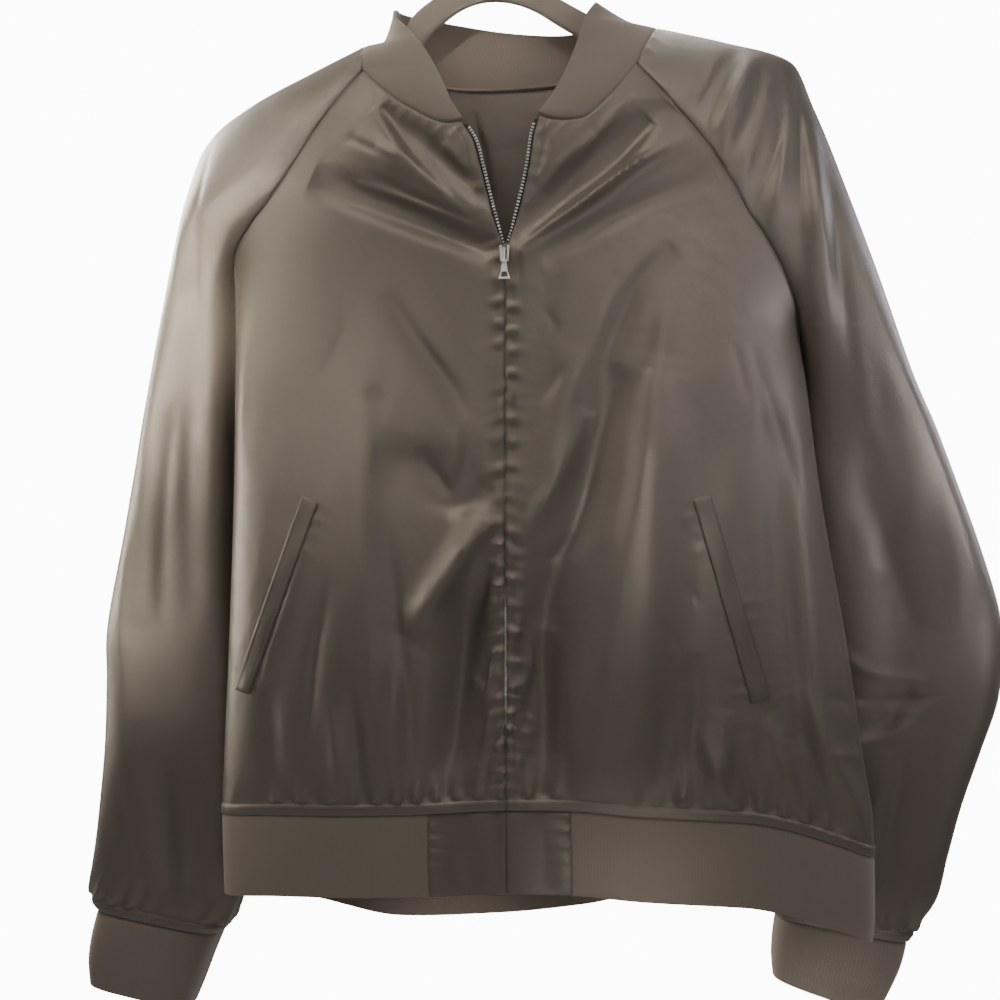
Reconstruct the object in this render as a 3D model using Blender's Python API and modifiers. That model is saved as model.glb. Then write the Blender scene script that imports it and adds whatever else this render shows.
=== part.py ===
# A satin raglan bomber jacket with knitted collar, cuffs and hem, hanging on a flat hanger.
# +Z is up, the front faces -Y, and +X is the wearer's left. The origin is where the hook bears
# on a rail. Tables and sizes are in millimetres, from the jacket's own middle at X = 0, and
# each mesh is written in metres.

import math
from bisect import bisect_right
from collections import namedtuple

import bmesh
import bpy
from mathutils import Vector
from mathutils.bvhtree import BVHTree
from mathutils.kdtree import KDTree

MM = 0.001
HOOK_X = -20.0          # the hook hangs this far from the jacket's middle

CLOTH = 1.5             # satin wall
KNIT = 2.4              # rib knit wall
TAPE = 1.0              # zip tape
SEAM = 0.3              # gap between two pieces at a seam
SAME_POINT = 0.01       # two points this near are one
TUCK = 8.0              # height of the stitched tuck above hem and cuffs
TUCK_RISE = 1.0         # how far the tuck stands out
HEM_HEIGHT = 61.0       # knitted hem
ROUNDNESS = 2.3         # exponent of the body's rings

ZIP_X = 2.0             # the zip's line
ZIP_EDGE = 2.0          # from the zip's line to each front's folded edge
TAPE_WIDTH = 13.0
TAPE_SHOWS = 3.0        # the tape past the front's edge where the zip is open
SLIDER_Z = -279.0       # top of the slider, where the zip parts

FRONT_COLUMNS = 12
BACK_COLUMNS = 20
SIDE_ROWS = 17          # rows from the tuck to the armpit
RAGLAN_ROWS = 11        # rows from the armpit to the neck
SLEEVE_ROWS = 17        # rows from the armpit down to the cuff
SLEEVE_HALF = 8         # columns on each half of a sleeve


def table(names, rows):
    Row = namedtuple("Row", names)
    return [Row(*row) for row in rows]


# ---------------------------------------------------------------- the body's rings
# right and left are the half widths, side, front and back the depths at the ring's side and
# middle. Above the armpit a ring runs on past the raglan seam, as far as the sleeve.
BODY = table("z right left side front back", [
    (-800, 219, 262, -12, -48, 35),
    (-760, 222, 266, -12, -51, 37),
    (-700, 223, 265, -12, -55, 40),
    (-650, 221, 258, -11, -59, 43),
    (-560, 217, 245, -10, -62, 46),
    (-460, 214, 228, -8, -63, 48),
    (-380, 213, 218, -6, -63, 49),
    (-339, 213, 213, -5, -63, 49),
    (-297, 214, 231, -3, -63, 50),
    (-250, 237, 253, -1, -62, 50),
    (-213, 258, 268, 0, -60, 50),
    (-186, 272, 278, 0, -56, 50),
    (-160, 284, 287, 0, -48, 48),
    (-131, 292, 292, 0, -32, 44),
    (-100, 296, 296, 0, -16, 38),
])

# Height of the seam between the body and the knitted hem, by place across the front and back.
HEM_FRONT = table("x z", [
    (-223, -702), (-173, -697), (-120, -695), (-63, -692), (2, -687), (50, -686), (97, -689),
    (172, -691), (198, -695), (237, -707), (265, -719)])
HEM_BACK = table("x z", [
    (-223, -702), (-160, -718), (-96, -730), (-16, -725), (60, -718), (150, -717), (265, -719)])

# Raglan seams from armpit to neck, and the neck seam from the raglan seam to the zip.
RAGLAN_FRONT = {
    "right": table("x z", [(-214, -297), (-206, -275), (-189, -254), (-167, -228), (-148, -199),
                           (-130, -172), (-109, -140)]),
    "left": table("x z", [(213, -339), (207, -317), (193, -287), (174, -256), (160, -231),
                          (142, -203), (124, -181), (95, -145)]),
}
RAGLAN_BACK = {
    "right": table("x z", [(-214, -297), (-203, -266), (-178, -226), (-148, -186), (-118, -151),
                           (-92, -124)]),
    "left": table("x z", [(213, -339), (203, -302), (182, -258), (154, -210), (122, -164),
                          (88, -119)]),
}
NECK_FRONT = {
    "right": table("x z", [(-31, -187), (-41, -188), (-52, -185), (-66, -177), (-81, -167),
                           (-95, -154), (-109, -140)]),
    "left": table("x z", [(26, -185), (36, -188), (47, -189), (59, -187), (70, -178),
                          (83, -163), (95, -145)]),
}
NECK_BACK = table("x z", [(-92, -124), (-55, -134), (-10, -137), (45, -133), (88, -119)])

# Front edges where the zip is open, from the slider up.
OPEN_EDGE = {
    "right": table("z x", [(-279, 0), (-249, -9.7), (-220, -17), (-202, -22), (-187, -31)]),
    "left": table("z x", [(-279, 4), (-247, 14), (-219, 20), (-199, 22.5), (-185, 26)]),
}

# ---------------------------------------------------------------- the sleeves
# outer and inner are the two ends of a flattened ring, and front and back its half depths.
LOWER_SLEEVE = {
    "right": table("outer inner front back", [
        ((-265, 0, -300), (-214, -3, -297), 48, 56),
        ((-276, 5, -342), (-216, 8, -338), 47, 57),
        ((-291, 12, -400), (-219, 16, -398), 45, 55),
        ((-308.5, 16, -478), (-220, 20, -476), 42, 51),
        ((-327.5, 20, -560), (-219, 23, -560), 39, 46),
        ((-330, 22, -605), (-218, 24, -606), 37, 43),
        ((-333, 23, -660), (-218, 25, -662), 34, 40),
        ((-341, 25, -725), (-219, 27, -728), 31, 36),
        ((-348, 26, -768), (-223, 28, -774), 29, 33),
        ((-348, 27, -782), (-230, 28, -796), 26, 30),
        ((-342, 27, -791), (-240, 28, -808), 23, 26),
    ]),
    "left": table("outer inner front back", [
        ((284, 0, -345), (213, -5, -339), 46, 56),
        ((294, 6, -373), (216, 11, -370), 45, 56),
        ((309, 14, -402), (214, 25, -402), 44, 54),
        ((328, 24, -448), (216, 33, -450), 42, 50),
        ((347.5, 34, -498), (222, 42, -500), 40, 46),
        ((362, 42, -542), (226, 48, -548), 39, 43),
        ((366, 46, -572), (232, 50, -580), 38, 41),
        ((363.5, 50, -612), (226, 53, -622), 36, 39),
        ((351, 53, -654), (219, 56, -666), 33, 36),
        ((338, 56, -696), (212, 58, -706), 31, 34),
        ((328.5, 58, -735), (206, 59, -742), 29, 32),
        ((320, 58, -768), (200, 58, -765), 27, 29),
        ((299, 57, -800), (199, 57, -784), 23, 25),
    ]),
}

# Between armpit and neck a ring is open. It leaves the raglan seams at the angle start, from
# -90 at the armpit, and goes over the shoulder's ridge. seam is the place along the seams.
UPPER_SLEEVE = {
    "right": table("seam ridge start front back", [
        (0.00, (-265, 0, -300), -90, 48, 56),
        (0.10, (-260.5, 1, -276), -64, 50, 56),
        (0.20, (-257.5, 1, -250), -42, 51, 55),
        (0.34, (-254, 2, -220), -20, 52, 53),
        (0.46, (-249, 2, -196), -6, 52, 51),
        (0.56, (-236, 2, -176), 2, 51, 50),
        (0.70, (-204, 1, -154), 6, 50, 49),
        (0.85, (-160, 0, -133), 9, 44, 46),
        (1.00, (-113, -2, -112), 12, 31, 42),
    ]),
    "left": table("seam ridge start front back", [
        (0.00, (284, 0, -345), -90, 46, 56),
        (0.10, (274, 1, -314), -66, 49, 56),
        (0.22, (262, 1, -278), -42, 51, 55),
        (0.36, (249, 1, -238), -20, 52, 53),
        (0.48, (237, 1, -204), -6, 52, 51),
        (0.58, (224, 1, -172), 2, 51, 50),
        (0.68, (208, 1, -138), 6, 50, 49),
        (0.84, (158, 0, -121), 9, 44, 46),
        (1.00, (109, 0, -108), 12, 31, 42),
    ]),
}
SHOULDER_ROUNDNESS = 1.75
SLEEVE_ROUNDNESS = 2.1

# Cuffs, as rings from the seam to the open end.
CUFF = {
    "right": table("outer inner front back", [
        ((-341.6, 27, -791.8), (-240.4, 28, -808.8), 23, 26),
        ((-347, 27, -812), (-249, 29, -829), 23, 25),
        ((-350, 27, -833), (-257, 29, -850), 22, 24),
        ((-349, 27, -853), (-265, 29, -869), 20, 22),
    ]),
    "left": table("outer inner front back", [
        ((298.6, 57, -800.9), (199.3, 57, -784.9), 23, 25),
        ((294, 58, -820), (197, 57, -801), 23, 24),
        ((286, 58, -839), (196, 57, -817), 22, 23),
        ((277, 58, -857), (197, 57, -832), 20, 21),
    ]),
}

# Collar: its top edge above named places of the neck seam. around is the share of the neck
# seam, from the zip on the wearer's right, round the back, to the zip on the left.
COLLAR_TOP = table("around x y z", [
    (0.000, -30.0, -57.5, -184), (0.060, -39, -52, -170), (0.120, -47, -44, -153),
    (0.185, -57, -35, -134), (0.245, -71, -24, -113), (0.310, -92, -8, -91),
    (0.370, -95, 14, -80), (0.430, -70, 34, -82), (0.500, -10, 44, -91),
    (0.570, 40, 37, -97), (0.625, 64, 20, -92), (0.685, 64, -6, -88),
    (0.745, 56, -21, -103), (0.800, 50, -32, -128), (0.870, 41, -44, -154),
    (0.935, 33, -52, -171), (1.000, 25.5, -57.5, -182)])
COLLAR_ROWS = 3
COLLAR_BULGE = 4.0
NECK_MIDDLE = (-7, -4)

# ---------------------------------------------------------------- the largest folds
# Each fold runs from one point to another across the front or back, bowed sideways. A positive
# height is a ridge, a negative one a trough. width is from its crest to where it has faded.
FRONT_FOLDS = table("x0 z0 x1 z1 bow width height", [
    (-142, -224, 2, -289, -5, 20, -8.5),      # drag lines from the slider to the shoulders
    (-112, -196, -2, -268, -4, 15, 4.5),
    (-92, -172, -8, -255, -3, 14, -6.0),
    (118, -178, 6, -276, 5, 20, -8.5),
    (136, -204, 4, -290, 4, 13, 5.5),
    (152, -232, 30, -292, 5, 14, -3.5),
    (-96, -430, -14, -436, 8, 34, -7.5),      # the hollow beside the zip at the chest
    (-8, -458, -72, -560, -8, 22, 7.5),
    (-22, -520, -48, -690, -8, 24, -8.0),
    (-96, -340, -120, -690, 10, 30, 4.0),
    (-70, -560, -86, -694, 4, 18, 4.0),
    (14, -470, 52, -350, 6, 22, 4.5),
    (28, -500, 44, -690, 6, 26, -8.0),
    (112, -390, 84, -690, -10, 26, 8.0),
    (136, -570, 120, -690, -4, 15, -4.0),
    (160, -610, 146, -694, -3, 13, 3.5),
    (196, -380, 214, -640, 8, 18, -4.5),
    (212, -420, 238, -700, 6, 17, 5.0),
    (-196, -330, -204, -440, 3, 12, 3.5),
    (-176, -600, -168, -696, 3, 15, -3.5),
    (168, -140, 120, -60, 0, 12, 3.0),
    (176, -162, 232, -250, -5, 14, -4.0),     # folds over the wearer's left shoulder
    (196, -150, 250, -262, -6, 12, 4.0),
    (150, -142, 196, -216, -4, 12, 3.5),
    (256, -420, 290, -620, -8, 30, -5.0),     # long folds down the sleeves
    (330, -430, 322, -560, -10, 24, 4.5),
    (-262, -250, -292, -560, 8, 26, 4.0),
    (-236, -330, -252, -560, 4, 18, -4.0),
    (-300, -570, -236, -610, 6, 20, -4.5),
    (-322, -610, -300, -768, 5, 20, 3.5),
    (-276, -660, -270, -782, 3, 16, -4.0),
    (300, -600, 250, -640, -5, 20, -4.5),
    (286, -650, 262, -772, 5, 17, 4.0),
])
BACK_FOLDS = table("x0 z0 x1 z1 bow width height", [
    (-150, -210, -60, -330, 8, 22, -5.5),
    (-120, -190, -36, -290, 6, 16, 4.0),
    (148, -230, 56, -345, -8, 22, -5.5),
    (112, -190, 34, -300, -6, 16, 4.0),
    (-150, -400, -120, -712, 8, 28, 5.5),
    (-86, -430, -70, -716, -6, 24, -5.5),
    (-30, -380, -18, -716, 6, 26, 5.0),
    (40, -440, 30, -712, -5, 22, -5.0),
    (96, -400, 92, -708, 6, 26, 5.5),
    (160, -460, 176, -708, 6, 22, -5.0),
    (-190, -520, -184, -700, 3, 18, -3.5),
    (220, -520, 232, -708, 4, 18, 4.0),
    (-262, -250, -290, -560, 8, 26, -4.5),
    (-300, -560, -240, -610, 6, 20, -4.5),
    (-290, -640, -284, -780, 4, 18, 4.0),
    (262, -300, 300, -520, -6, 24, -4.5),
    (340, -560, 250, -620, -6, 22, -5.0),
    (290, -650, 268, -780, 4, 18, 4.0),
])
FOLD_FADE = 46.0        # folds die out over this height above the hem and cuffs


# ---------------------------------------------------------------- curves through the tables
def between(rows, key, column, at):
    # Smooth value of one column, without overshoot between two rows.
    places = [getattr(row, key) for row in rows]
    values = [getattr(row, column) for row in rows]
    if at <= places[0]:
        return values[0]
    if at >= places[-1]:
        return values[-1]
    i = bisect_right(places, at) - 1
    step = places[i + 1] - places[i]
    slopes = [(values[k + 1] - values[k]) / (places[k + 1] - places[k])
              for k in range(len(rows) - 1)]

    def tangent(k):
        if k == 0 or k == len(rows) - 1:
            return slopes[min(k, len(slopes) - 1)]
        before, after = slopes[k - 1], slopes[k]
        return 0.0 if before * after <= 0 else 2 * before * after / (before + after)

    t = (at - places[i]) / step
    start, end = tangent(i) * step, tangent(i + 1) * step
    return (values[i] * (2 * t ** 3 - 3 * t ** 2 + 1) + start * (t ** 3 - 2 * t ** 2 + t)
            + values[i + 1] * (3 * t ** 2 - 2 * t ** 3) + end * (t ** 3 - t ** 2))


def path(points, share):
    # A point at a share of the length of a smooth curve through all the points.
    points = [Vector(point) for point in points]
    marks = [0.0]
    for before, after in zip(points, points[1:]):
        marks.append(marks[-1] + (after - before).length)
    at = min(max(share, 0.0), 1.0) * marks[-1]
    i = min(bisect_right(marks, at) - 1, len(points) - 2)
    t = (at - marks[i]) / (marks[i + 1] - marks[i])
    p1, p2 = points[i], points[i + 1]
    p0 = points[i - 1] if i else 2 * p1 - p2
    p3 = points[i + 2] if i + 2 < len(points) else 2 * p2 - p1
    return 0.5 * (2 * p1 + (p2 - p0) * t + (2 * p0 - 5 * p1 + 4 * p2 - p3) * t ** 2
                  + (3 * p1 - p0 - 3 * p2 + p3) * t ** 3)


def ease(value):
    value = min(max(value, 0.0), 1.0)
    return value * value * (3 - 2 * value)


def relief(folds, x, z):
    total = 0.0
    for fold in folds:
        run = Vector((fold.x1 - fold.x0, fold.z1 - fold.z0))
        away = Vector((x - fold.x0, z - fold.z0))
        along = away.dot(run) / run.length_squared
        if not 0 < along < 1:
            continue
        hump = 4 * along * (1 - along)
        across = (away.x * run.y - away.y * run.x) / run.length - fold.bow * hump
        if abs(across) < 1.5 * fold.width:
            total += fold.height * hump ** 0.7 * math.exp(-3 * (across / fold.width) ** 2)
    return total


# ---------------------------------------------------------------- the body's surfaces
def hem_seam(x, face):
    return between(HEM_FRONT if face == "front" else HEM_BACK, "x", "z", x)


def half_width(x, z):
    return between(BODY, "z", "right" if x < 0 else "left", z)


def facing(x, z):
    # 1 in the middle of the front or back, and 0 at the side, where the cloth turns.
    share = min(abs(x) / half_width(x, z), 1.0)
    return (1 - share ** ROUNDNESS) ** (1 / ROUNDNESS)


def smooth_depth(x, z, face):
    side = between(BODY, "z", "side", z)
    return side + (between(BODY, "z", face, z) - side) * facing(x, z)


def depth(x, z, face):
    folds, sign = (FRONT_FOLDS, -1) if face == "front" else (BACK_FOLDS, 1)
    fade = ease((z - hem_seam(x, face)) / FOLD_FADE)
    return smooth_depth(x, z, face) + sign * relief(folds, x, z) * facing(x, z) * fade


def front_edge(side, z):
    if z > SLIDER_Z:
        return between(OPEN_EDGE[side], "z", "x", z)
    return ZIP_X + (-ZIP_EDGE if side == "right" else ZIP_EDGE)


def seam_path(rows, face, share):
    # A seam given across a face, raised onto that face.
    x, z, unused = path([(row.x, row.z, 0) for row in rows], share)
    return Vector((x, depth(x, z, face), z))


def side_seam(side, share):
    # From the hem seam at share 0 to the armpit at 1.
    column = HEM_FRONT[0] if side == "right" else HEM_FRONT[-1]
    armpit = RAGLAN_FRONT[side][0]
    z = column.z + (armpit.z - column.z) * share
    x = between(BODY, "z", side, z) * (-1 if side == "right" else 1)
    return Vector((x, between(BODY, "z", "side", z), z))


def side_shares(side):
    # The tuck's two rows first, then even rows up to the armpit.
    column = HEM_FRONT[0] if side == "right" else HEM_FRONT[-1]
    height = RAGLAN_FRONT[side][0].z - column.z
    tuck = TUCK / height
    rows = [tuck * 1.25 + (1 - tuck * 1.25) * k / SIDE_ROWS for k in range(SIDE_ROWS + 1)]
    return [0.0, tuck] + rows


def panel_rows(side):
    # Points of the outer edge of a front or half a back, and how far each is above the hem.
    below = [("side", share) for share in side_shares(side)]
    above = [("raglan", k / RAGLAN_ROWS) for k in range(1, RAGLAN_ROWS + 1)]
    return below + above


def outer_edge(side, face, row):
    kind, share = row
    if kind == "side":
        return side_seam(side, share)
    return seam_path((RAGLAN_FRONT if face == "front" else RAGLAN_BACK)[side], face, share)


def front_panel(side):
    rows = panel_rows(side)
    lower = len(side_shares(side)) - 1
    armpit_z = RAGLAN_FRONT[side][0].z
    neck = NECK_FRONT[side]
    grid = []
    for number, row in enumerate(rows):
        outer = outer_edge(side, "front", row)
        upper = max(number - lower, 0) / RAGLAN_ROWS
        if row[0] == "side":
            inner_z = outer.z
        else:
            inner_z = armpit_z + (neck[0].z - armpit_z) * upper
        line = []
        for column in range(FRONT_COLUMNS + 1):
            share = math.sin(math.pi / 2 * column / FRONT_COLUMNS) ** (2 / ROUNDNESS)
            inner_x = front_edge(side, inner_z)
            x = inner_x + (outer.x - inner_x) * share
            z = inner_z + (outer.z - inner_z) * share
            # the lowest rows follow the hem, the highest ones the neck
            drop = 1 - ease((z - side_seam(side, 0).z) / 200)
            z += (hem_seam(x, "front") - side_seam(side, 0).z) * drop
            if upper:
                onto = path([(p.x, p.z, 0) for p in neck], share)
                chord = Vector((neck[0].x, neck[0].z, 0)).lerp(
                    Vector((neck[-1].x, neck[-1].z, 0)), share)
                x += (onto.x - chord.x) * upper ** 2
                z += (onto.y - chord.y) * upper ** 2
            line.append(Vector((x, depth(x, z, "front"), z)))
        line[-1] = outer
        grid.append(line)
    return grid


def back_panel():
    rows = {side: panel_rows(side) for side in ("right", "left")}
    lower = len(side_shares("right")) - 1
    grid = []
    for number in range(len(rows["right"])):
        right = outer_edge("right", "back", rows["right"][number])
        left = outer_edge("left", "back", rows["left"][number])
        upper = max(number - lower, 0) / RAGLAN_ROWS
        line = []
        for column in range(BACK_COLUMNS + 1):
            turn = math.pi * (column / BACK_COLUMNS - 0.5)
            share = 0.5 + 0.5 * math.copysign(abs(math.sin(turn)) ** (2 / ROUNDNESS), turn)
            x = right.x + (left.x - right.x) * share
            z = right.z + (left.z - right.z) * share
            flat = side_seam("right", 0).lerp(side_seam("left", 0), share).z
            drop = 1 - ease((z - flat) / 260)
            z += (hem_seam(x, "back") - flat) * drop
            if upper:
                onto = path([(p.x, p.z, 0) for p in NECK_BACK], share)
                chord = Vector((NECK_BACK[0].x, NECK_BACK[0].z, 0)).lerp(
                    Vector((NECK_BACK[-1].x, NECK_BACK[-1].z, 0)), share)
                x += (onto.x - chord.x) * upper ** 2
                z += (onto.y - chord.y) * upper ** 2
            line.append(Vector((x, depth(x, z, "back"), z)))
        line[0], line[-1] = right, left
        grid.append(line)
    return grid


# ---------------------------------------------------------------- the sleeves' surfaces
def bend(angle, roundness):
    sine, cosine = math.sin(angle), math.cos(angle)
    return (math.copysign(abs(sine) ** (2 / roundness), sine),
            max(cosine, 0.0) ** (2 / roundness))


def half_ring(seam, ridge, start, reach, face, roundness, columns, folds_fade=1.0):
    # From a seam point to the ridge, round the front or the back of a sleeve.
    sign = -1 if face == "front" else 1
    start = math.radians(start)
    sine, cosine = bend(start, roundness)
    seam, ridge = Vector(seam), Vector(ridge)
    middle = (seam - ridge * sine) / (1 - sine)
    middle.y = (seam.y - ridge.y * sine - sign * reach * cosine) / (1 - sine)
    folds = FRONT_FOLDS if face == "front" else BACK_FOLDS
    line = []
    for column in range(columns + 1):
        angle = start + (math.pi / 2 - start) * column / columns
        sine_here, cosine_here = bend(angle, roundness)
        point = middle + (ridge - middle) * sine_here
        point.y += sign * reach * cosine_here
        weight = math.cos(angle) * folds_fade
        point.y += sign * relief(folds, point.x, point.z) * weight
        line.append(point)
    return line


def lower_ring(rows, share, roundness, fade=1.0):
    outer = path([row.outer for row in rows], share)
    inner = path([row.inner for row in rows], share)
    place = share * (len(rows) - 1)
    index = min(int(place), len(rows) - 2)
    mix = place - index
    front = rows[index].front * (1 - mix) + rows[index + 1].front * mix
    back = rows[index].back * (1 - mix) + rows[index + 1].back * mix
    fronts = half_ring(inner, outer, -90, front, "front", roundness, SLEEVE_HALF, fade)
    backs = half_ring(inner, outer, -90, back, "back", roundness, SLEEVE_HALF, fade)
    return fronts + backs[-2::-1]


def sleeve_panel(side):
    # Rows from the cuff up to the neck. Below the armpit the first and last columns meet.
    grid = []
    rows = LOWER_SLEEVE[side]
    count = SLEEVE_ROWS
    for number in range(count, 0, -1):
        share = number / count
        fade = ease((1 - share) * 10)
        grid.append(lower_ring(rows, share, SLEEVE_ROUNDNESS, fade))
    tuck = lower_ring(rows, 1 - 0.25 / count, SLEEVE_ROUNDNESS, 0.0)
    grid.insert(1, tuck)
    tables = UPPER_SLEEVE[side]
    for number in range(RAGLAN_ROWS + 1):
        share = number / RAGLAN_ROWS
        ridge = Vector(ridge_at(tables, share))
        line = []
        for face, raglan in (("front", RAGLAN_FRONT), ("back", RAGLAN_BACK)):
            seam = seam_path(raglan[side], face, share)
            smooth = Vector((seam.x, smooth_depth(seam.x, seam.z, face), seam.z))
            start = between(tables, "seam", "start", share)
            reach = between(tables, "seam", face, share)
            roundness = SLEEVE_ROUNDNESS + (SHOULDER_ROUNDNESS - SLEEVE_ROUNDNESS) * ease(share / 0.5)
            half = half_ring(smooth, ridge, start, reach, face, roundness, SLEEVE_HALF)
            half[0] = seam
            line = half if face == "front" else line + half[-2::-1]
        grid.append(line)
    return grid


def ridge_at(tables, share):
    named = table("seam x y z", [(row.seam, *row.ridge) for row in tables])
    return [between(named, "seam", axis, share) for axis in ("x", "y", "z")]


# ---------------------------------------------------------------- from a grid to a wall
def grid_normals(grid, outward):
    # The direction away from the wearer at each point, from the grid's own neighbours.
    normals = []
    for i, line in enumerate(grid):
        row = []
        for j in range(len(line)):
            along = (line[min(j + 1, len(line) - 1)] - line[max(j - 1, 0)])
            up = (grid[min(i + 1, len(grid) - 1)][j] - grid[max(i - 1, 0)][j])
            normal = along.cross(up) * outward
            row.append(normal.normalized() if normal.length > 1e-9 else Vector((0, 0, 1)))
        normals.append(row)
    return normals


def share_normals(pieces):
    # Points that two pieces share get one direction, so that their walls stay parallel.
    spots = [(grid[i][j], normals, i, j) for grid, normals in pieces
             for i in range(len(grid)) for j in range(len(grid[i]))]
    tree = KDTree(len(spots))
    for number, spot in enumerate(spots):
        tree.insert(spot[0], number)
    tree.balance()
    shared = []
    for point, normals, i, j in spots:
        total = Vector()
        for near in tree.find_range(point, SAME_POINT):
            other = spots[near[1]]
            total += other[1][other[2]][other[3]]
        shared.append(total.normalized())
    for (point, normals, i, j), direction in zip(spots, shared):
        normals[i][j] = direction


def drawn_in(grid, gap, closed_below=0):
    # Moves the open edges inwards by a gap. Rows below closed_below are closed rings.
    last = len(grid) - 1
    moved = []
    for i, line in enumerate(grid):
        row = []
        end = len(line) - 1
        for j, point in enumerate(line):
            shift = Vector()
            if i == 0:
                shift += (grid[1][j] - point).normalized() * gap
            if i == last:
                shift += (grid[last - 1][j] - point).normalized() * gap
            if closed_below and j in (0, end) and i == closed_below:
                below = (grid[i - 1][j] - point).normalized()
                beside = (line[1] + line[end - 1] - 2 * point).normalized()
                shift += (below + beside) * gap
            elif i >= closed_below and j == 0:
                shift += (line[1] - point).normalized() * gap
            elif i >= closed_below and j == end:
                shift += (line[end - 1] - point).normalized() * gap
            row.append(point + shift)
        moved.append(row)
    return moved


def wall(name, grid, normals, thickness, look, rise=None, closed_rows=0):
    # An open surface of a grid, given its thickness inwards along the shared directions.
    # The first rows may be closed rings, whose last column is their first one.
    mesh = bpy.data.meshes.new(name)
    shape = bmesh.new()
    inner = {}
    points = []
    for i, line in enumerate(grid):
        row = []
        for j, point in enumerate(line):
            if i < closed_rows and j == len(line) - 1:
                row.append(row[0])
                continue
            lift = rise(i, j) if rise else 0.0
            vertex = shape.verts.new(place(point + normals[i][j] * lift))
            inner[vertex] = shape.verts.new(place(point - normals[i][j] * thickness))
            row.append(vertex)
        points.append(row)
    outside = []
    for lower, upper in zip(points, points[1:]):
        for j in range(len(lower) - 1):
            outside.append(shape.faces.new([lower[j], lower[j + 1], upper[j + 1], upper[j]]))
    open_edges = [edge for edge in shape.edges if len(edge.link_faces) == 1]
    for face in outside:
        shape.faces.new([inner[vertex] for vertex in reversed(face.verts)])
    for edge in open_edges:
        loop = edge.link_loops[0]
        first, second = loop.vert, loop.link_loop_next.vert
        shape.faces.new([second, first, inner[first], inner[second]])
    bmesh.ops.recalc_face_normals(shape, faces=shape.faces)
    shape.to_mesh(mesh)
    shape.free()
    return finish(name, mesh, look)


def place(point):
    return Vector(((point.x - HOOK_X) * MM, point.y * MM, point.z * MM))


# ---------------------------------------------------------------- objects and their looks
LOOKS = table("name colour roughness metallic", [
    ("satin", (0.105, 0.086, 0.071, 1), 0.38, 0.0),
    ("knit", (0.095, 0.078, 0.066, 1), 0.85, 0.0),
    ("tape", (0.060, 0.050, 0.042, 1), 0.80, 0.0),
    ("zip_metal", (0.620, 0.600, 0.560, 1), 0.28, 1.0),
    ("hanger_plastic", (0.120, 0.100, 0.085, 1), 0.95, 0.0),
    ("hook_steel", (0.560, 0.550, 0.530, 1), 0.25, 1.0),
])


def material(look):
    if look in bpy.data.materials:
        return bpy.data.materials[look]
    row = next(row for row in LOOKS if row.name == look)
    made = bpy.data.materials.new(look)
    made.use_nodes = True
    shader = made.node_tree.nodes["Principled BSDF"]
    shader.inputs["Base Color"].default_value = row.colour
    shader.inputs["Roughness"].default_value = row.roughness
    shader.inputs["Metallic"].default_value = row.metallic
    made.diffuse_color = row.colour
    return made


def finish(name, mesh, look):
    made = bpy.data.objects.new(name, mesh)
    mesh.materials.append(material(look))
    mesh.shade_smooth()
    mesh.set_sharp_from_angle(angle=math.radians(50))
    jacket.objects.link(made)
    return made


# ---------------------------------------------------------------- the pieces
def tuck_rise(i, j):
    return TUCK_RISE if i < 2 else 0.0


def body_sleeves_and_collar():
    grids = {
        "front_right": front_panel("right"),
        "front_left": front_panel("left"),
        "back": back_panel(),
        "sleeve_right": sleeve_panel("right"),
        "sleeve_left": sleeve_panel("left"),
    }
    grids["collar"] = collar_rows(neck_seam(grids))
    outward = {"front_left": 1, "sleeve_left": 1}
    normals = {name: grid_normals(grid, outward.get(name, -1)) for name, grid in grids.items()}
    share_normals([(grids[name], normals[name]) for name in grids])
    for name in ("front_right", "front_left", "back"):
        wall(name, drawn_in(grids[name], SEAM / 2), normals[name], CLOTH, "satin", tuck_rise)
    armpit = SLEEVE_ROWS + 1
    for name in ("sleeve_right", "sleeve_left"):
        wall(name, drawn_in(grids[name], SEAM / 2, armpit), normals[name], CLOTH, "satin",
             tuck_rise, armpit + 1)
    wall("collar", drawn_in(grids["collar"], SEAM / 2), normals["collar"], KNIT, "knit")
    return grids


def neck_seam(grids):
    # All round the neck, from the zip on the wearer's right to the zip on the left.
    return (grids["front_right"][-1] + grids["sleeve_right"][-1][1:] + grids["back"][-1][1:]
            + grids["sleeve_left"][-1][-2::-1] + grids["front_left"][-1][-2::-1])


def collar_rows(seam):
    marks = [0.0]
    for before, after in zip(seam, seam[1:]):
        marks.append(marks[-1] + (after - before).length)
    rows = [[] for row in range(COLLAR_ROWS + 1)]
    for base, mark in zip(seam, marks):
        share = mark / marks[-1]
        top = Vector([between(COLLAR_TOP, "around", axis, share) for axis in ("x", "y", "z")])
        out = Vector((base.x - NECK_MIDDLE[0], base.y - NECK_MIDDLE[1], 0)).normalized()
        bulge = COLLAR_BULGE * min((top - base).length / 40, 1)
        for number, row in enumerate(rows):
            up = number / COLLAR_ROWS
            row.append(base.lerp(top, up) + out * bulge * math.sin(math.pi * up))
    return rows


HEM_ROWS = 3
BLOCK_EDGE = {"right": -56, "left": 49}


def hem_columns(grids):
    # The body's lowest points with their face, from zip to zip round the back, and one more
    # on each front where a satin block ends.
    columns = [("front", point) for point in grids["front_right"][0]]
    columns += [("back", point) for point in grids["back"][0][1:-1]]
    columns += [("front", point) for point in reversed(grids["front_left"][0])]
    ends = []
    for edge in (BLOCK_EDGE["right"], BLOCK_EDGE["left"]):
        for number, ((face, point), (unused, after)) in enumerate(zip(columns, columns[1:])):
            if face == "front" and (point.x - edge) * (after.x - edge) < 0:
                mix = (edge - point.x) / (after.x - point.x)
                columns.insert(number + 1, (face, point.lerp(after, mix)))
                ends.append(number + 1)
                break
    return columns, ends


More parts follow.
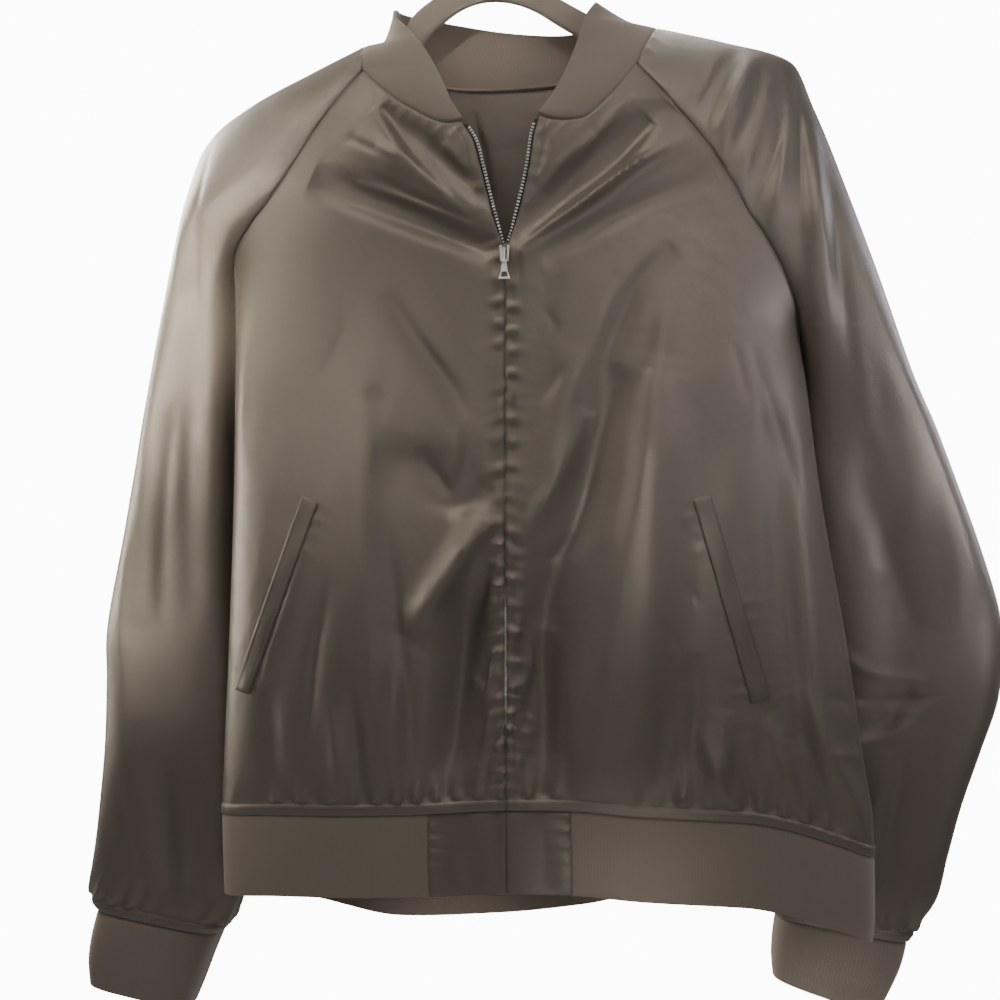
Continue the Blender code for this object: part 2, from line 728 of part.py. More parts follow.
def hem(grids):
    columns, ends = hem_columns(grids)
    spans = [("hem_block_right", 0, ends[0], "satin"), ("hem_rib", ends[0], ends[1], "knit"),
             ("hem_block_left", ends[1], len(columns) - 1, "satin")]
    grid = []
    for number in range(HEM_ROWS, -1, -1):
        down = SEAM + HEM_HEIGHT * number / HEM_ROWS
        line = []
        for face, top in columns:
            z = top.z - down
            x = top.x * half_width(top.x, z) / half_width(top.x, top.z)
            line.append(Vector((x, smooth_depth(x, z, face), z)))
        grid.append(line)
    normals = grid_normals(grid, -1)
    for name, start, end, look in spans:
        part = [[point.copy() for point in line[start:end + 1]] for line in grid]
        for line in part:
            if start > 0:
                line[0] += (line[1] - line[0]).normalized() * SEAM / 2
            if end < len(columns) - 1:
                line[-1] += (line[-2] - line[-1]).normalized() * SEAM / 2
        wall(name, part, [line[start:end + 1] for line in normals],
             CLOTH if look == "satin" else KNIT, look)


def cuffs():
    for side, rows in CUFF.items():
        grid = [lower_ring(rows, 1 - number / 3, SLEEVE_ROUNDNESS, 0.0) for number in range(4)]
        normals = grid_normals(grid, -1 if side == "right" else 1)
        share_normals([(grid, normals)])
        wall("cuff_" + side, grid, normals, KNIT, "knit", closed_rows=len(grid))


WELT = {
    "right": table("x z", [(-136, -464), (-193, -608), (-206, -605), (-149, -458)]),
    "left": table("x z", [(135, -461), (176, -606), (190, -602), (148, -458)]),
}
WELT_THICK = 1.6
WELT_ROWS = 18
TAPE_STEPS = 34
TAPE_BELOW_COLLAR = 4.0
WELT_REACH = 1.2        # each piece on a panel clears its facets this far around
TAPE_REACH = 4.0
SLIDER_REACH = 0.5


def facets(grid):
    # The panel's own flat facets, to lay other pieces on.
    points = [point for line in grid for point in line]
    wide = len(grid[0])
    faces = [(i * wide + j, i * wide + j + 1, (i + 1) * wide + j + 1, (i + 1) * wide + j)
             for i in range(len(grid) - 1) for j in range(wide - 1)]
    return BVHTree.FromPolygons(points, faces)


def on_facets(tree, x, z, keep, around):
    # The panel's depth near a place: its foremost with keep=min, its hindmost with keep=max.
    found = []
    for step_x, step_z in ((0, 0), (-1, 0), (1, 0), (0, -1), (0, 1)):
        start = Vector((x + step_x * around, -300, z + step_z * around))
        hit = tree.ray_cast(start, Vector((0, 1, 0)))[0]
        if hit:
            found.append(hit.y)
    return keep(found or [depth(x, z, "front")])


def pocket_welts(trees):
    for side, (top_in, low_in, low_out, top_out) in WELT.items():
        grid = []
        for row in range(WELT_ROWS + 1):
            up = row / WELT_ROWS
            inner = Vector((low_in.x, low_in.z)).lerp(Vector((top_in.x, top_in.z)), up)
            outer = Vector((low_out.x, low_out.z)).lerp(Vector((top_out.x, top_out.z)), up)
            line = []
            for column in range(3):
                x, z = inner.lerp(outer, column / 2)
                y = on_facets(trees[side], x, z, min, WELT_REACH) - SEAM - WELT_THICK
                line.append(Vector((x, y, z)))
            grid.append(line)
        normals = grid_normals(grid, -1 if side == "right" else 1)
        wall("pocket_welt_" + side, grid, normals, WELT_THICK, "satin")


def zip_tapes(trees):
    for side, sign in (("right", -1), ("left", 1)):
        bottom = hem_seam(ZIP_X, "front") - HEM_HEIGHT + 1
        top = NECK_FRONT[side][0].z - TAPE_BELOW_COLLAR
        grid = []
        for row in range(TAPE_STEPS + 1):
            z = bottom + (top - bottom) * row / TAPE_STEPS
            parted = ease((z - SLIDER_Z) / 30)
            edge = front_edge(side, z) - sign * (ZIP_EDGE - SEAM / 2) * (1 - parted)
            edge -= sign * TAPE_SHOWS * parted
            line = []
            for column in range(4):
                x = edge + sign * TAPE_WIDTH * column / 3
                y = max(on_facets(trees[side], x, z, max, TAPE_REACH), depth(x, z, "front"))
                line.append(Vector((x, y + CLOTH * 1.15 + SEAM, z)))
            grid.append(line)
        wall("zip_tape_" + side, grid, grid_normals(grid, sign), TAPE, "tape")


# ---------------------------------------------------------------- the zip's slider and pull
SLIDER_OUTLINE = table("x z", [(-5.2, 0), (-5.2, -5), (-3.8, -14), (3.8, -14), (5.2, -5), (5.2, 0)])
SLIDER_THICK = 1.8
BRIDGE_WIDTH = 1.8
BRIDGE_TOP = -2.4       # below the slider's top
BRIDGE_LOW = -13.8
BRIDGE_WALL = 1.2
BRIDGE_HEIGHT = 4.2     # above the slider's plate
BRIDGE_CORNER = 0.9
AXIS_DOWN = 11.3        # the pull's axis, below the slider's top
AXIS_OUT = 1.5          # and in front of the plate
PULL_THICK = 1.2
PULL = table("down half hole", [
    (-0.6, 2.6, 1.7), (0.6, 2.6, 1.7), (4.2, 2.7, 1.7), (8.4, 3.7, 2.0), (12.3, 4.9, 3.4),
    (13.8, 5.3, 3.6)])
PULL_OPEN = (1, 3)      # the pull's open cells: for the bridge, and its window


def slab(outline, thickness, axis):
    # A flat outline of (across, up) points, as a solid along one axis about its own middle.
    shape = bmesh.new()
    sides = []
    for half in (-thickness / 2, thickness / 2):
        spots = [(x, half, z) if axis == "y" else (half, x, z) for x, z in outline]
        sides.append([shape.verts.new(Vector(spot) * MM) for spot in spots])
    shape.faces.new(sides[0])
    shape.faces.new(sides[1])
    for i in range(len(outline)):
        j = (i + 1) % len(outline)
        shape.faces.new([sides[0][i], sides[0][j], sides[1][j], sides[1][i]])
    bmesh.ops.recalc_face_normals(shape, faces=shape.faces)
    return shape


def slider_seat(trees):
    # Where the back of the slider's plate meets the cloth, at the middle of its top.
    y = min(on_facets(trees[side], ZIP_X + sign * reach, SLIDER_Z - down, min, SLIDER_REACH)
            for side, sign in (("right", -1), ("left", 1))
            for reach in (ZIP_EDGE, 5) for down in (0, 5, 10, 14))
    return Vector((ZIP_X, y - SEAM, SLIDER_Z))


def zip_slider(trees):
    seat = slider_seat(trees)
    plate = slab([(row.x, row.z) for row in SLIDER_OUTLINE], SLIDER_THICK, "y")
    body = bpy.data.meshes.new("zip_slider")
    plate.to_mesh(body)
    plate.free()
    slider = finish("zip_slider", body, "zip_metal")
    slider.location = place(seat + Vector((0, -SLIDER_THICK / 2, 0)))
    root = -SLIDER_THICK / 2 + 0.5
    out = -SLIDER_THICK / 2 - BRIDGE_HEIGHT
    inside = out + BRIDGE_WALL
    corner = BRIDGE_CORNER
    outline = [(root, BRIDGE_TOP), (out + corner, BRIDGE_TOP), (out, BRIDGE_TOP - corner),
               (out, BRIDGE_LOW + corner), (out + corner, BRIDGE_LOW), (root, BRIDGE_LOW),
               (root, BRIDGE_LOW + BRIDGE_WALL), (inside, BRIDGE_LOW + BRIDGE_WALL),
               (inside, BRIDGE_TOP - BRIDGE_WALL), (root, BRIDGE_TOP - BRIDGE_WALL)]
    arch = slab(outline, BRIDGE_WIDTH, "x")
    arched = bpy.data.meshes.new("bridge")
    arch.to_mesh(arched)
    arch.free()
    bridge = bpy.data.objects.new("bridge", arched)
    cutters.objects.link(bridge)
    bridge.location = slider.location
    bridge.hide_render = True
    bridge.display_type = "WIRE"
    join = slider.modifiers.new("bridge", "BOOLEAN")
    join.operation = "UNION"
    join.object = bridge


def zip_pull(trees):
    axis = slider_seat(trees) + Vector((0, -SLIDER_THICK - AXIS_OUT, -AXIS_DOWN))
    shape = bmesh.new()
    lines = [[shape.verts.new(Vector((x, 0, -row.down)) * MM)
              for x in (-row.half, -row.hole, row.hole, row.half)] for row in PULL]
    for number, (upper, lower) in enumerate(zip(lines, lines[1:])):
        for cell in range(3):
            if cell == 1 and number in PULL_OPEN:
                continue
            shape.faces.new([upper[cell], lower[cell], lower[cell + 1], upper[cell + 1]])
    mesh = bpy.data.meshes.new("zip_pull")
    shape.to_mesh(mesh)
    shape.free()
    pull = finish("zip_pull", mesh, "zip_metal")
    pull.location = place(axis)
    solid = pull.modifiers.new("thickness", "SOLIDIFY")
    solid.thickness = PULL_THICK * MM
    solid.offset = 0


# ---------------------------------------------------------------- the hanger
# The neck of the hanger, from the wearer's right to the left: middle of its section and half
# height. Past these its arms run just under the ridge of each sleeve.
HANGER_NECK = table("x z half", [
    (-112, -130, 9.2), (-98, -124.5, 9), (-84, -116, 9), (-76, -105.5, 9.8),
    (-68, -94.5, 10.5), (-50, -81.5, 9.5),
    (-32, -75, 8.3), (-14, -73.5, 8), (5, -77, 8), (22, -84, 8.5), (42, -96.5, 9),
    (62, -108, 9.2), (85, -117, 9.2), (109, -124, 9.2)])
HANGER_ARM = {          # places along each sleeve's ridge
    "right": (0.93, 0.85, 0.78, 0.71, 0.65, 0.625),
    "left": (0.93, 0.86, 0.80, 0.755),
}
HANGER_TIP = 4.0
HANGER_HALF = 9.0
HANGER_THICK = 6.0
HANGER_EDGE = 1.6       # rounding of the section
UNDER_RIDGE = 0.9       # below the cloth's inner face, so that the rounded dome clears it

HOOK_WIRE = 1.9
HOOK_RADIUS = 17.0      # inside the hook
HOOK_SWEEP = (205, -45)
HOOK_STEPS = 20
HOOK_STEM = table("x z", [(-11.5, -37.5), (-16.5, -43.5), (-17.5, -51), (-15.8, -59), (-14.6, -65.1)])


def hanger_line():
    ends = []
    for side in ("right", "left"):
        line = []
        for share in HANGER_ARM[side]:
            ridge = Vector(ridge_at(UPPER_SLEEVE[side], share))
            run = Vector(ridge_at(UPPER_SLEEVE[side], share + 0.03)) - ridge
            down = Vector((run.z, 0, -run.x)).normalized() * (1 if run.x > 0 else -1)
            line.append((ridge + down * (CLOTH + UNDER_RIDGE + HANGER_HALF), HANGER_HALF))
        tip, half = line[-1]
        away = (tip - line[-2][0]).normalized()
        for reach, part in ((0.7, 0.75), (1.0, 0.35)):
            sunk = Vector((0, 0, -half * (1 - part) * 0.5))
            line.append((tip + away * HANGER_TIP * reach + sunk, half * part))
        ends.append(line)
    neck = [(Vector((row.x, 0, row.z)), row.half) for row in HANGER_NECK]
    return ends[0][::-1] + neck + ends[1]


def hanger_body():
    line = hanger_line()
    mesh = bpy.data.meshes.new("hanger_body")
    shape = bmesh.new()
    rings = []
    for number, (middle, half) in enumerate(line):
        before = line[max(number - 1, 0)][0]
        after = line[min(number + 1, len(line) - 1)][0]
        run = after - before
        up = Vector((-run.z, 0, run.x)).normalized()
        thick = HANGER_THICK / 2
        edge = min(HANGER_EDGE, half * 0.5)
        section = [(-thick, half - edge), (-thick + edge, half), (thick - edge, half),
                   (thick, half - edge), (thick, edge - half), (thick - edge, -half),
                   (edge - thick, -half), (-thick, edge - half)]
        rings.append([shape.verts.new(place(middle + up * high + Vector((0, y, 0))))
                      for y, high in section])
    for lower, upper in zip(rings, rings[1:]):
        for i in range(len(lower)):
            j = (i + 1) % len(lower)
            shape.faces.new([lower[i], lower[j], upper[j], upper[i]])
    shape.faces.new(rings[0])
    shape.faces.new(rings[-1])
    bmesh.ops.recalc_face_normals(shape, faces=shape.faces)
    shape.to_mesh(mesh)
    shape.free()
    finish("hanger_body", mesh, "hanger_plastic")


def hanger_hook():
    radius = HOOK_RADIUS + HOOK_WIRE
    start, end = HOOK_SWEEP
    points = []
    for step in range(HOOK_STEPS + 1):
        angle = math.radians(start + (end - start) * step / HOOK_STEPS)
        points.append(Vector((HOOK_X + radius * math.cos(angle), 0,
                              radius * math.sin(angle) - HOOK_RADIUS)))
    bend_in = [points[-1]] + [Vector((row.x, 0, row.z)) for row in HOOK_STEM]
    points += [path(bend_in, step / 10) for step in range(1, 11)]
    curve = bpy.data.curves.new("hanger_hook", "CURVE")
    curve.dimensions = "3D"
    curve.bevel_depth = HOOK_WIRE * MM
    curve.bevel_resolution = 2
    curve.use_fill_caps = True
    wire = curve.splines.new("POLY")
    wire.points.add(len(points) - 1)
    for spot, point in zip(wire.points, points):
        spot.co = (*place(point), 1)
    hook = bpy.data.objects.new("hanger_hook", curve)
    curve.materials.append(material("hook_steel"))
    jacket.objects.link(hook)


def main():
    grids = body_sleeves_and_collar()
    hem(grids)
    cuffs()
    trees = {side: facets(grids["front_" + side]) for side in ("right", "left")}
    pocket_welts(trees)
    zip_tapes(trees)
    zip_slider(trees)
    zip_pull(trees)
    hanger_body()
    hanger_hook()


for old in list(bpy.data.objects):
    bpy.data.objects.remove(old)
jacket = bpy.data.collections.new("bomber_jacket")
cutters = bpy.data.collections.new("cutters")
bpy.context.scene.collection.children.link(jacket)
bpy.context.scene.collection.children.link(cutters)
main()
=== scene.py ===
import math
import random

import bpy
import numpy as np
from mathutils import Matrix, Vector
from mathutils.kdtree import KDTree


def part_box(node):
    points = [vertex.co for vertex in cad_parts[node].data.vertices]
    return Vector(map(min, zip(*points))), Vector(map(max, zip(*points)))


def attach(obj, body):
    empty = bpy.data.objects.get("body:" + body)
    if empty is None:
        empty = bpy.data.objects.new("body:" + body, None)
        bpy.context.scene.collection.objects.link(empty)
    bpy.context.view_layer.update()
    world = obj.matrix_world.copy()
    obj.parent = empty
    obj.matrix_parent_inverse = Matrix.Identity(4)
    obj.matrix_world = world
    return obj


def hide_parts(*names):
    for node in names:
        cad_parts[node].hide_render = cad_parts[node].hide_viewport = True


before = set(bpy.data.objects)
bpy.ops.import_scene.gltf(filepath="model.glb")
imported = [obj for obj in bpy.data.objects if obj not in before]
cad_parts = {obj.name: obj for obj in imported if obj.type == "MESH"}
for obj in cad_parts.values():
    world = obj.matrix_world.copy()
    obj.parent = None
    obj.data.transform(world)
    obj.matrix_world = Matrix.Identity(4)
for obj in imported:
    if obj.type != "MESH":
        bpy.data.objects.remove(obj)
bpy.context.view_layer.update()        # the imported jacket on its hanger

# Sizes are in millimetres from the jacket's own middle, and meshes are written in metres.
# Right and left are the wearer's. The front faces -Y.
mm = 0.001
hookX = -20.0
signs = {"right": -1, "left": 1, "front": -1, "back": 1}


def columns(names, rows):
    return dict(zip(names.split(), np.array(rows, float).T))


# the body and where its pieces meet
body = {
    "rings": columns("z right left side front back", [
        (-800, 219, 262, -12, -48, 35), (-760, 222, 266, -12, -51, 37),
        (-700, 223, 265, -12, -55, 40), (-650, 221, 258, -11, -59, 43),
        (-560, 217, 245, -10, -62, 46), (-460, 214, 228, -8, -63, 48),
        (-380, 213, 218, -6, -63, 49), (-339, 213, 213, -5, -63, 49),
        (-297, 214, 231, -3, -63, 50), (-250, 237, 253, -1, -62, 50),
        (-213, 258, 268, 0, -60, 50), (-186, 272, 278, 0, -56, 50),
        (-160, 284, 287, 0, -48, 48), (-131, 292, 292, 0, -32, 44),
        (-100, 296, 296, 0, -16, 38)]),
    "roundness": 3.4,
    "hem": {
        "front": columns("x z", [
            (-223, -702), (-173, -697), (-120, -695), (-63, -692), (2, -687), (50, -686),
            (97, -689), (172, -691), (198, -695), (237, -707), (265, -719)]),
        "back": columns("x z", [
            (-223, -702), (-160, -719), (-96, -731), (-16, -726), (50, -717), (95, -708),
            (150, -706), (200, -711), (265, -719)])},
    "raglan": {
        ("front", "right"): [(-214, -297), (-206, -275), (-189, -254), (-167, -228),
                             (-148, -199), (-130, -172), (-109, -140)],
        ("front", "left"): [(213, -339), (207, -317), (193, -287), (174, -256), (160, -231),
                            (142, -203), (124, -181), (95, -145)],
        ("back", "right"): [(-214, -297), (-203, -266), (-178, -226), (-148, -186),
                            (-118, -151), (-92, -124)],
        ("back", "left"): [(213, -339), (203, -302), (182, -258), (154, -210), (122, -164),
                           (88, -119)]},
    "neck": {
        "right": [(-31, -187), (-41, -188), (-52, -185), (-66, -177), (-81, -167), (-95, -154),
                  (-109, -140)],
        "left": [(26, -185), (36, -188), (47, -189), (59, -187), (70, -178), (83, -163),
                 (95, -145)],
        "back": [(-92, -124), (-55, -134), (-10, -137), (45, -133), (88, -119)]},
    "sliderTop": -279.0,
    "zipX": 2.0,
    "openEdge": {
        "right": columns("z x", [(-279, 0), (-249, -9.7), (-220, -17), (-202, -22), (-187, -31)]),
        "left": columns("z x", [(-279, 4), (-247, 14), (-219, 20), (-199, 22.5), (-185, 26)])},
    "lip": columns("z reach", [
        (-760, 0.04), (-690, 0.04), (-660, 0.2), (-620, 0.75), (-550, 0.75), (-515, 0.3), (-300, 0.3),
        (-279, 2.0)]),
    "clothThick": 1.0,
}
zipX = body["zipX"]

sleeves = {
    "lower": {
        "right": [
            ((-265, 0, -300), (-214, -3, -297), 48, 56), ((-276, 5, -342), (-216, 8, -338), 47, 57),
            ((-291, 12, -400), (-219, 16, -398), 45, 55),
            ((-308.5, 16, -478), (-220, 20, -476), 42, 51),
            ((-327.5, 20, -560), (-219, 23, -560), 39, 46),
            ((-330, 22, -605), (-218, 24, -606), 37, 43),
            ((-333, 23, -660), (-218, 25, -662), 34, 40), ((-341, 25, -725), (-219, 27, -728), 31, 36),
            ((-348, 26, -768), (-223, 28, -774), 29, 33), ((-348, 27, -782), (-230, 28, -796), 26, 30),
            ((-342, 27, -791), (-240, 28, -808), 23, 26)],
        "left": [
            ((284, 0, -345), (213, -5, -339), 46, 56), ((294, 6, -373), (216, 11, -370), 45, 56),
            ((309, 14, -402), (214, 25, -402), 44, 54), ((328, 24, -448), (216, 33, -450), 42, 50),
            ((347.5, 34, -498), (222, 42, -500), 40, 46), ((362, 42, -542), (226, 48, -548), 39, 43),
            ((366, 46, -572), (232, 50, -580), 38, 41), ((363.5, 50, -612), (226, 53, -622), 36, 39),
            ((351, 53, -654), (219, 56, -666), 33, 36), ((338, 56, -696), (212, 58, -706), 31, 34),
            ((328.5, 58, -735), (206, 59, -742), 29, 32), ((320, 58, -768), (200, 58, -765), 27, 29),
            ((299, 57, -800), (199, 57, -784), 23, 25)]},
    # Above the armpit a ring is open: it leaves the raglan seams at the angle start.
    "upper": {
        "right": columns("seam x y z start front back", [
            (0.00, -265, 0, -300, -90, 48, 56), (0.10, -260.5, 1, -276, -64, 50, 56),
            (0.20, -257.5, 1, -250, -42, 51, 55), (0.34, -254, 2, -220, -20, 52, 53),
            (0.46, -249, 2, -196, -6, 52, 51), (0.56, -236, 2, -176, 2, 51, 50),
            (0.70, -204, 1, -154, 6, 50, 49), (0.85, -160, 0, -133, 9, 44, 46),
            (1.00, -113, -2, -112, 12, 31, 42)]),
        "left": columns("seam x y z start front back", [
            (0.00, 284, 0, -345, -90, 46, 56), (0.10, 274, 1, -314, -66, 49, 56),
            (0.22, 262, 1, -278, -42, 51, 55), (0.36, 249, 1, -238, -20, 52, 53),
            (0.48, 237, 1, -204, -6, 52, 51), (0.58, 224, 1, -172, 2, 51, 50),
            (0.68, 208, 1, -138, 6, 50, 49), (0.84, 158, 0, -121, 9, 44, 46),
            (1.00, 109, 0, -108, 12, 31, 42)])},
    "roundness": 3.6,
    "shoulderRoundness": 1.8,
    "armpitRows": 17, "armpitTurns": 140,
    "cuff": {
        "right": [
            ((-341.6, 27, -791.8), (-240.4, 28, -808.8), 23, 26),
            ((-347, 27, -812), (-249, 29, -829), 23, 25),
            ((-350, 27, -833), (-257, 29, -850), 22, 24), ((-349, 27, -853), (-265, 29, -869), 20, 22)],
        "left": [
            ((298.6, 57, -800.9), (199.3, 57, -784.9), 23, 25),
            ((294, 58, -820), (197, 57, -801), 23, 24),
            ((286, 58, -839), (196, 57, -817), 22, 23), ((277, 58, -857), (197, 57, -832), 20, 21)]},
}

# the broad folds, straight or bowed: x0, z0, x1, z1, bow, width, height
broadFolds = {
    "front": [
        (-142, -224, 2, -289, -5, 20, -8.5), (-112, -196, -2, -268, -4, 15, 4.5),
        (-92, -172, -8, -255, -3, 14, -6.0), (118, -178, 6, -276, 5, 20, -8.5),
        (136, -204, 4, -290, 4, 13, 5.5), (152, -232, 30, -292, 5, 14, -3.5),
        (-96, -430, -14, -436, 8, 34, -5.0), (-8, -458, -72, -560, -8, 24, 6.0),
        (-22, -520, -48, -690, -8, 30, -8.0), (-96, -340, -120, -690, 10, 36, 2.5),
        (-70, -560, -86, -694, 4, 18, 4.0), (14, -470, 52, -350, 6, 22, 4.5),
        (28, -500, 44, -690, 6, 32, -7.0), (112, -370, 84, -690, -10, 34, 9.0),
        (136, -570, 120, -690, -4, 15, -4.0), (160, -610, 146, -694, -3, 13, 3.5),
        (196, -380, 214, -640, 8, 18, -4.5), (212, -420, 238, -700, 6, 17, 5.0),
        (-196, -330, -204, -440, 3, 12, 3.5), (-176, -600, -168, -696, 3, 15, -3.5),
        (184, -130, 156, -226, 4, 12, 3.5), (198, -140, 178, -262, 4, 12, -3.5),
        (222, -150, 226, -330, 3, 14, 3.5), (172, -128, 140, -190, 3, 10, -3.0),
        (256, -420, 290, -620, -8, 30, -5.0), (330, -430, 322, -560, -10, 24, 4.5),
        (-262, -250, -292, -560, 8, 26, 4.0), (-236, -330, -252, -560, 4, 18, -4.0),
        (-310, -610, -296, -768, 5, 24, 2.5),
        (-276, -660, -270, -782, 3, 16, -4.0), (300, -600, 250, -640, -5, 20, -4.5),
        (286, -650, 262, -772, 5, 17, 4.0)],
    "back": [
        (-150, -210, -60, -330, 8, 22, -5.5), (-120, -190, -36, -290, 6, 16, 4.0),
        (148, -230, 56, -345, -8, 22, -5.5), (112, -190, 34, -300, -6, 16, 4.0),
        (-150, -400, -120, -712, 8, 28, 5.5), (-86, -430, -70, -716, -6, 24, -5.5),
        (-30, -380, -18, -716, 6, 26, 5.0), (40, -440, 30, -712, -5, 22, -5.0),
        (96, -400, 92, -708, 6, 26, 5.5), (160, -460, 176, -708, 6, 22, -5.0),
        (-190, -520, -184, -700, 3, 18, -3.5), (220, -520, 232, -708, 4, 18, 4.0),
        (-262, -250, -290, -560, 8, 26, -4.5), (-300, -560, -240, -610, 6, 20, -4.5),
        (-290, -640, -284, -780, 4, 18, 4.0), (262, -300, 300, -520, -6, 24, -4.5),
        (340, -560, 250, -620, -6, 22, -5.0), (290, -650, 268, -780, 4, 18, 4.0)],
}
foldFade = 46.0
creaseDepth = 1.3

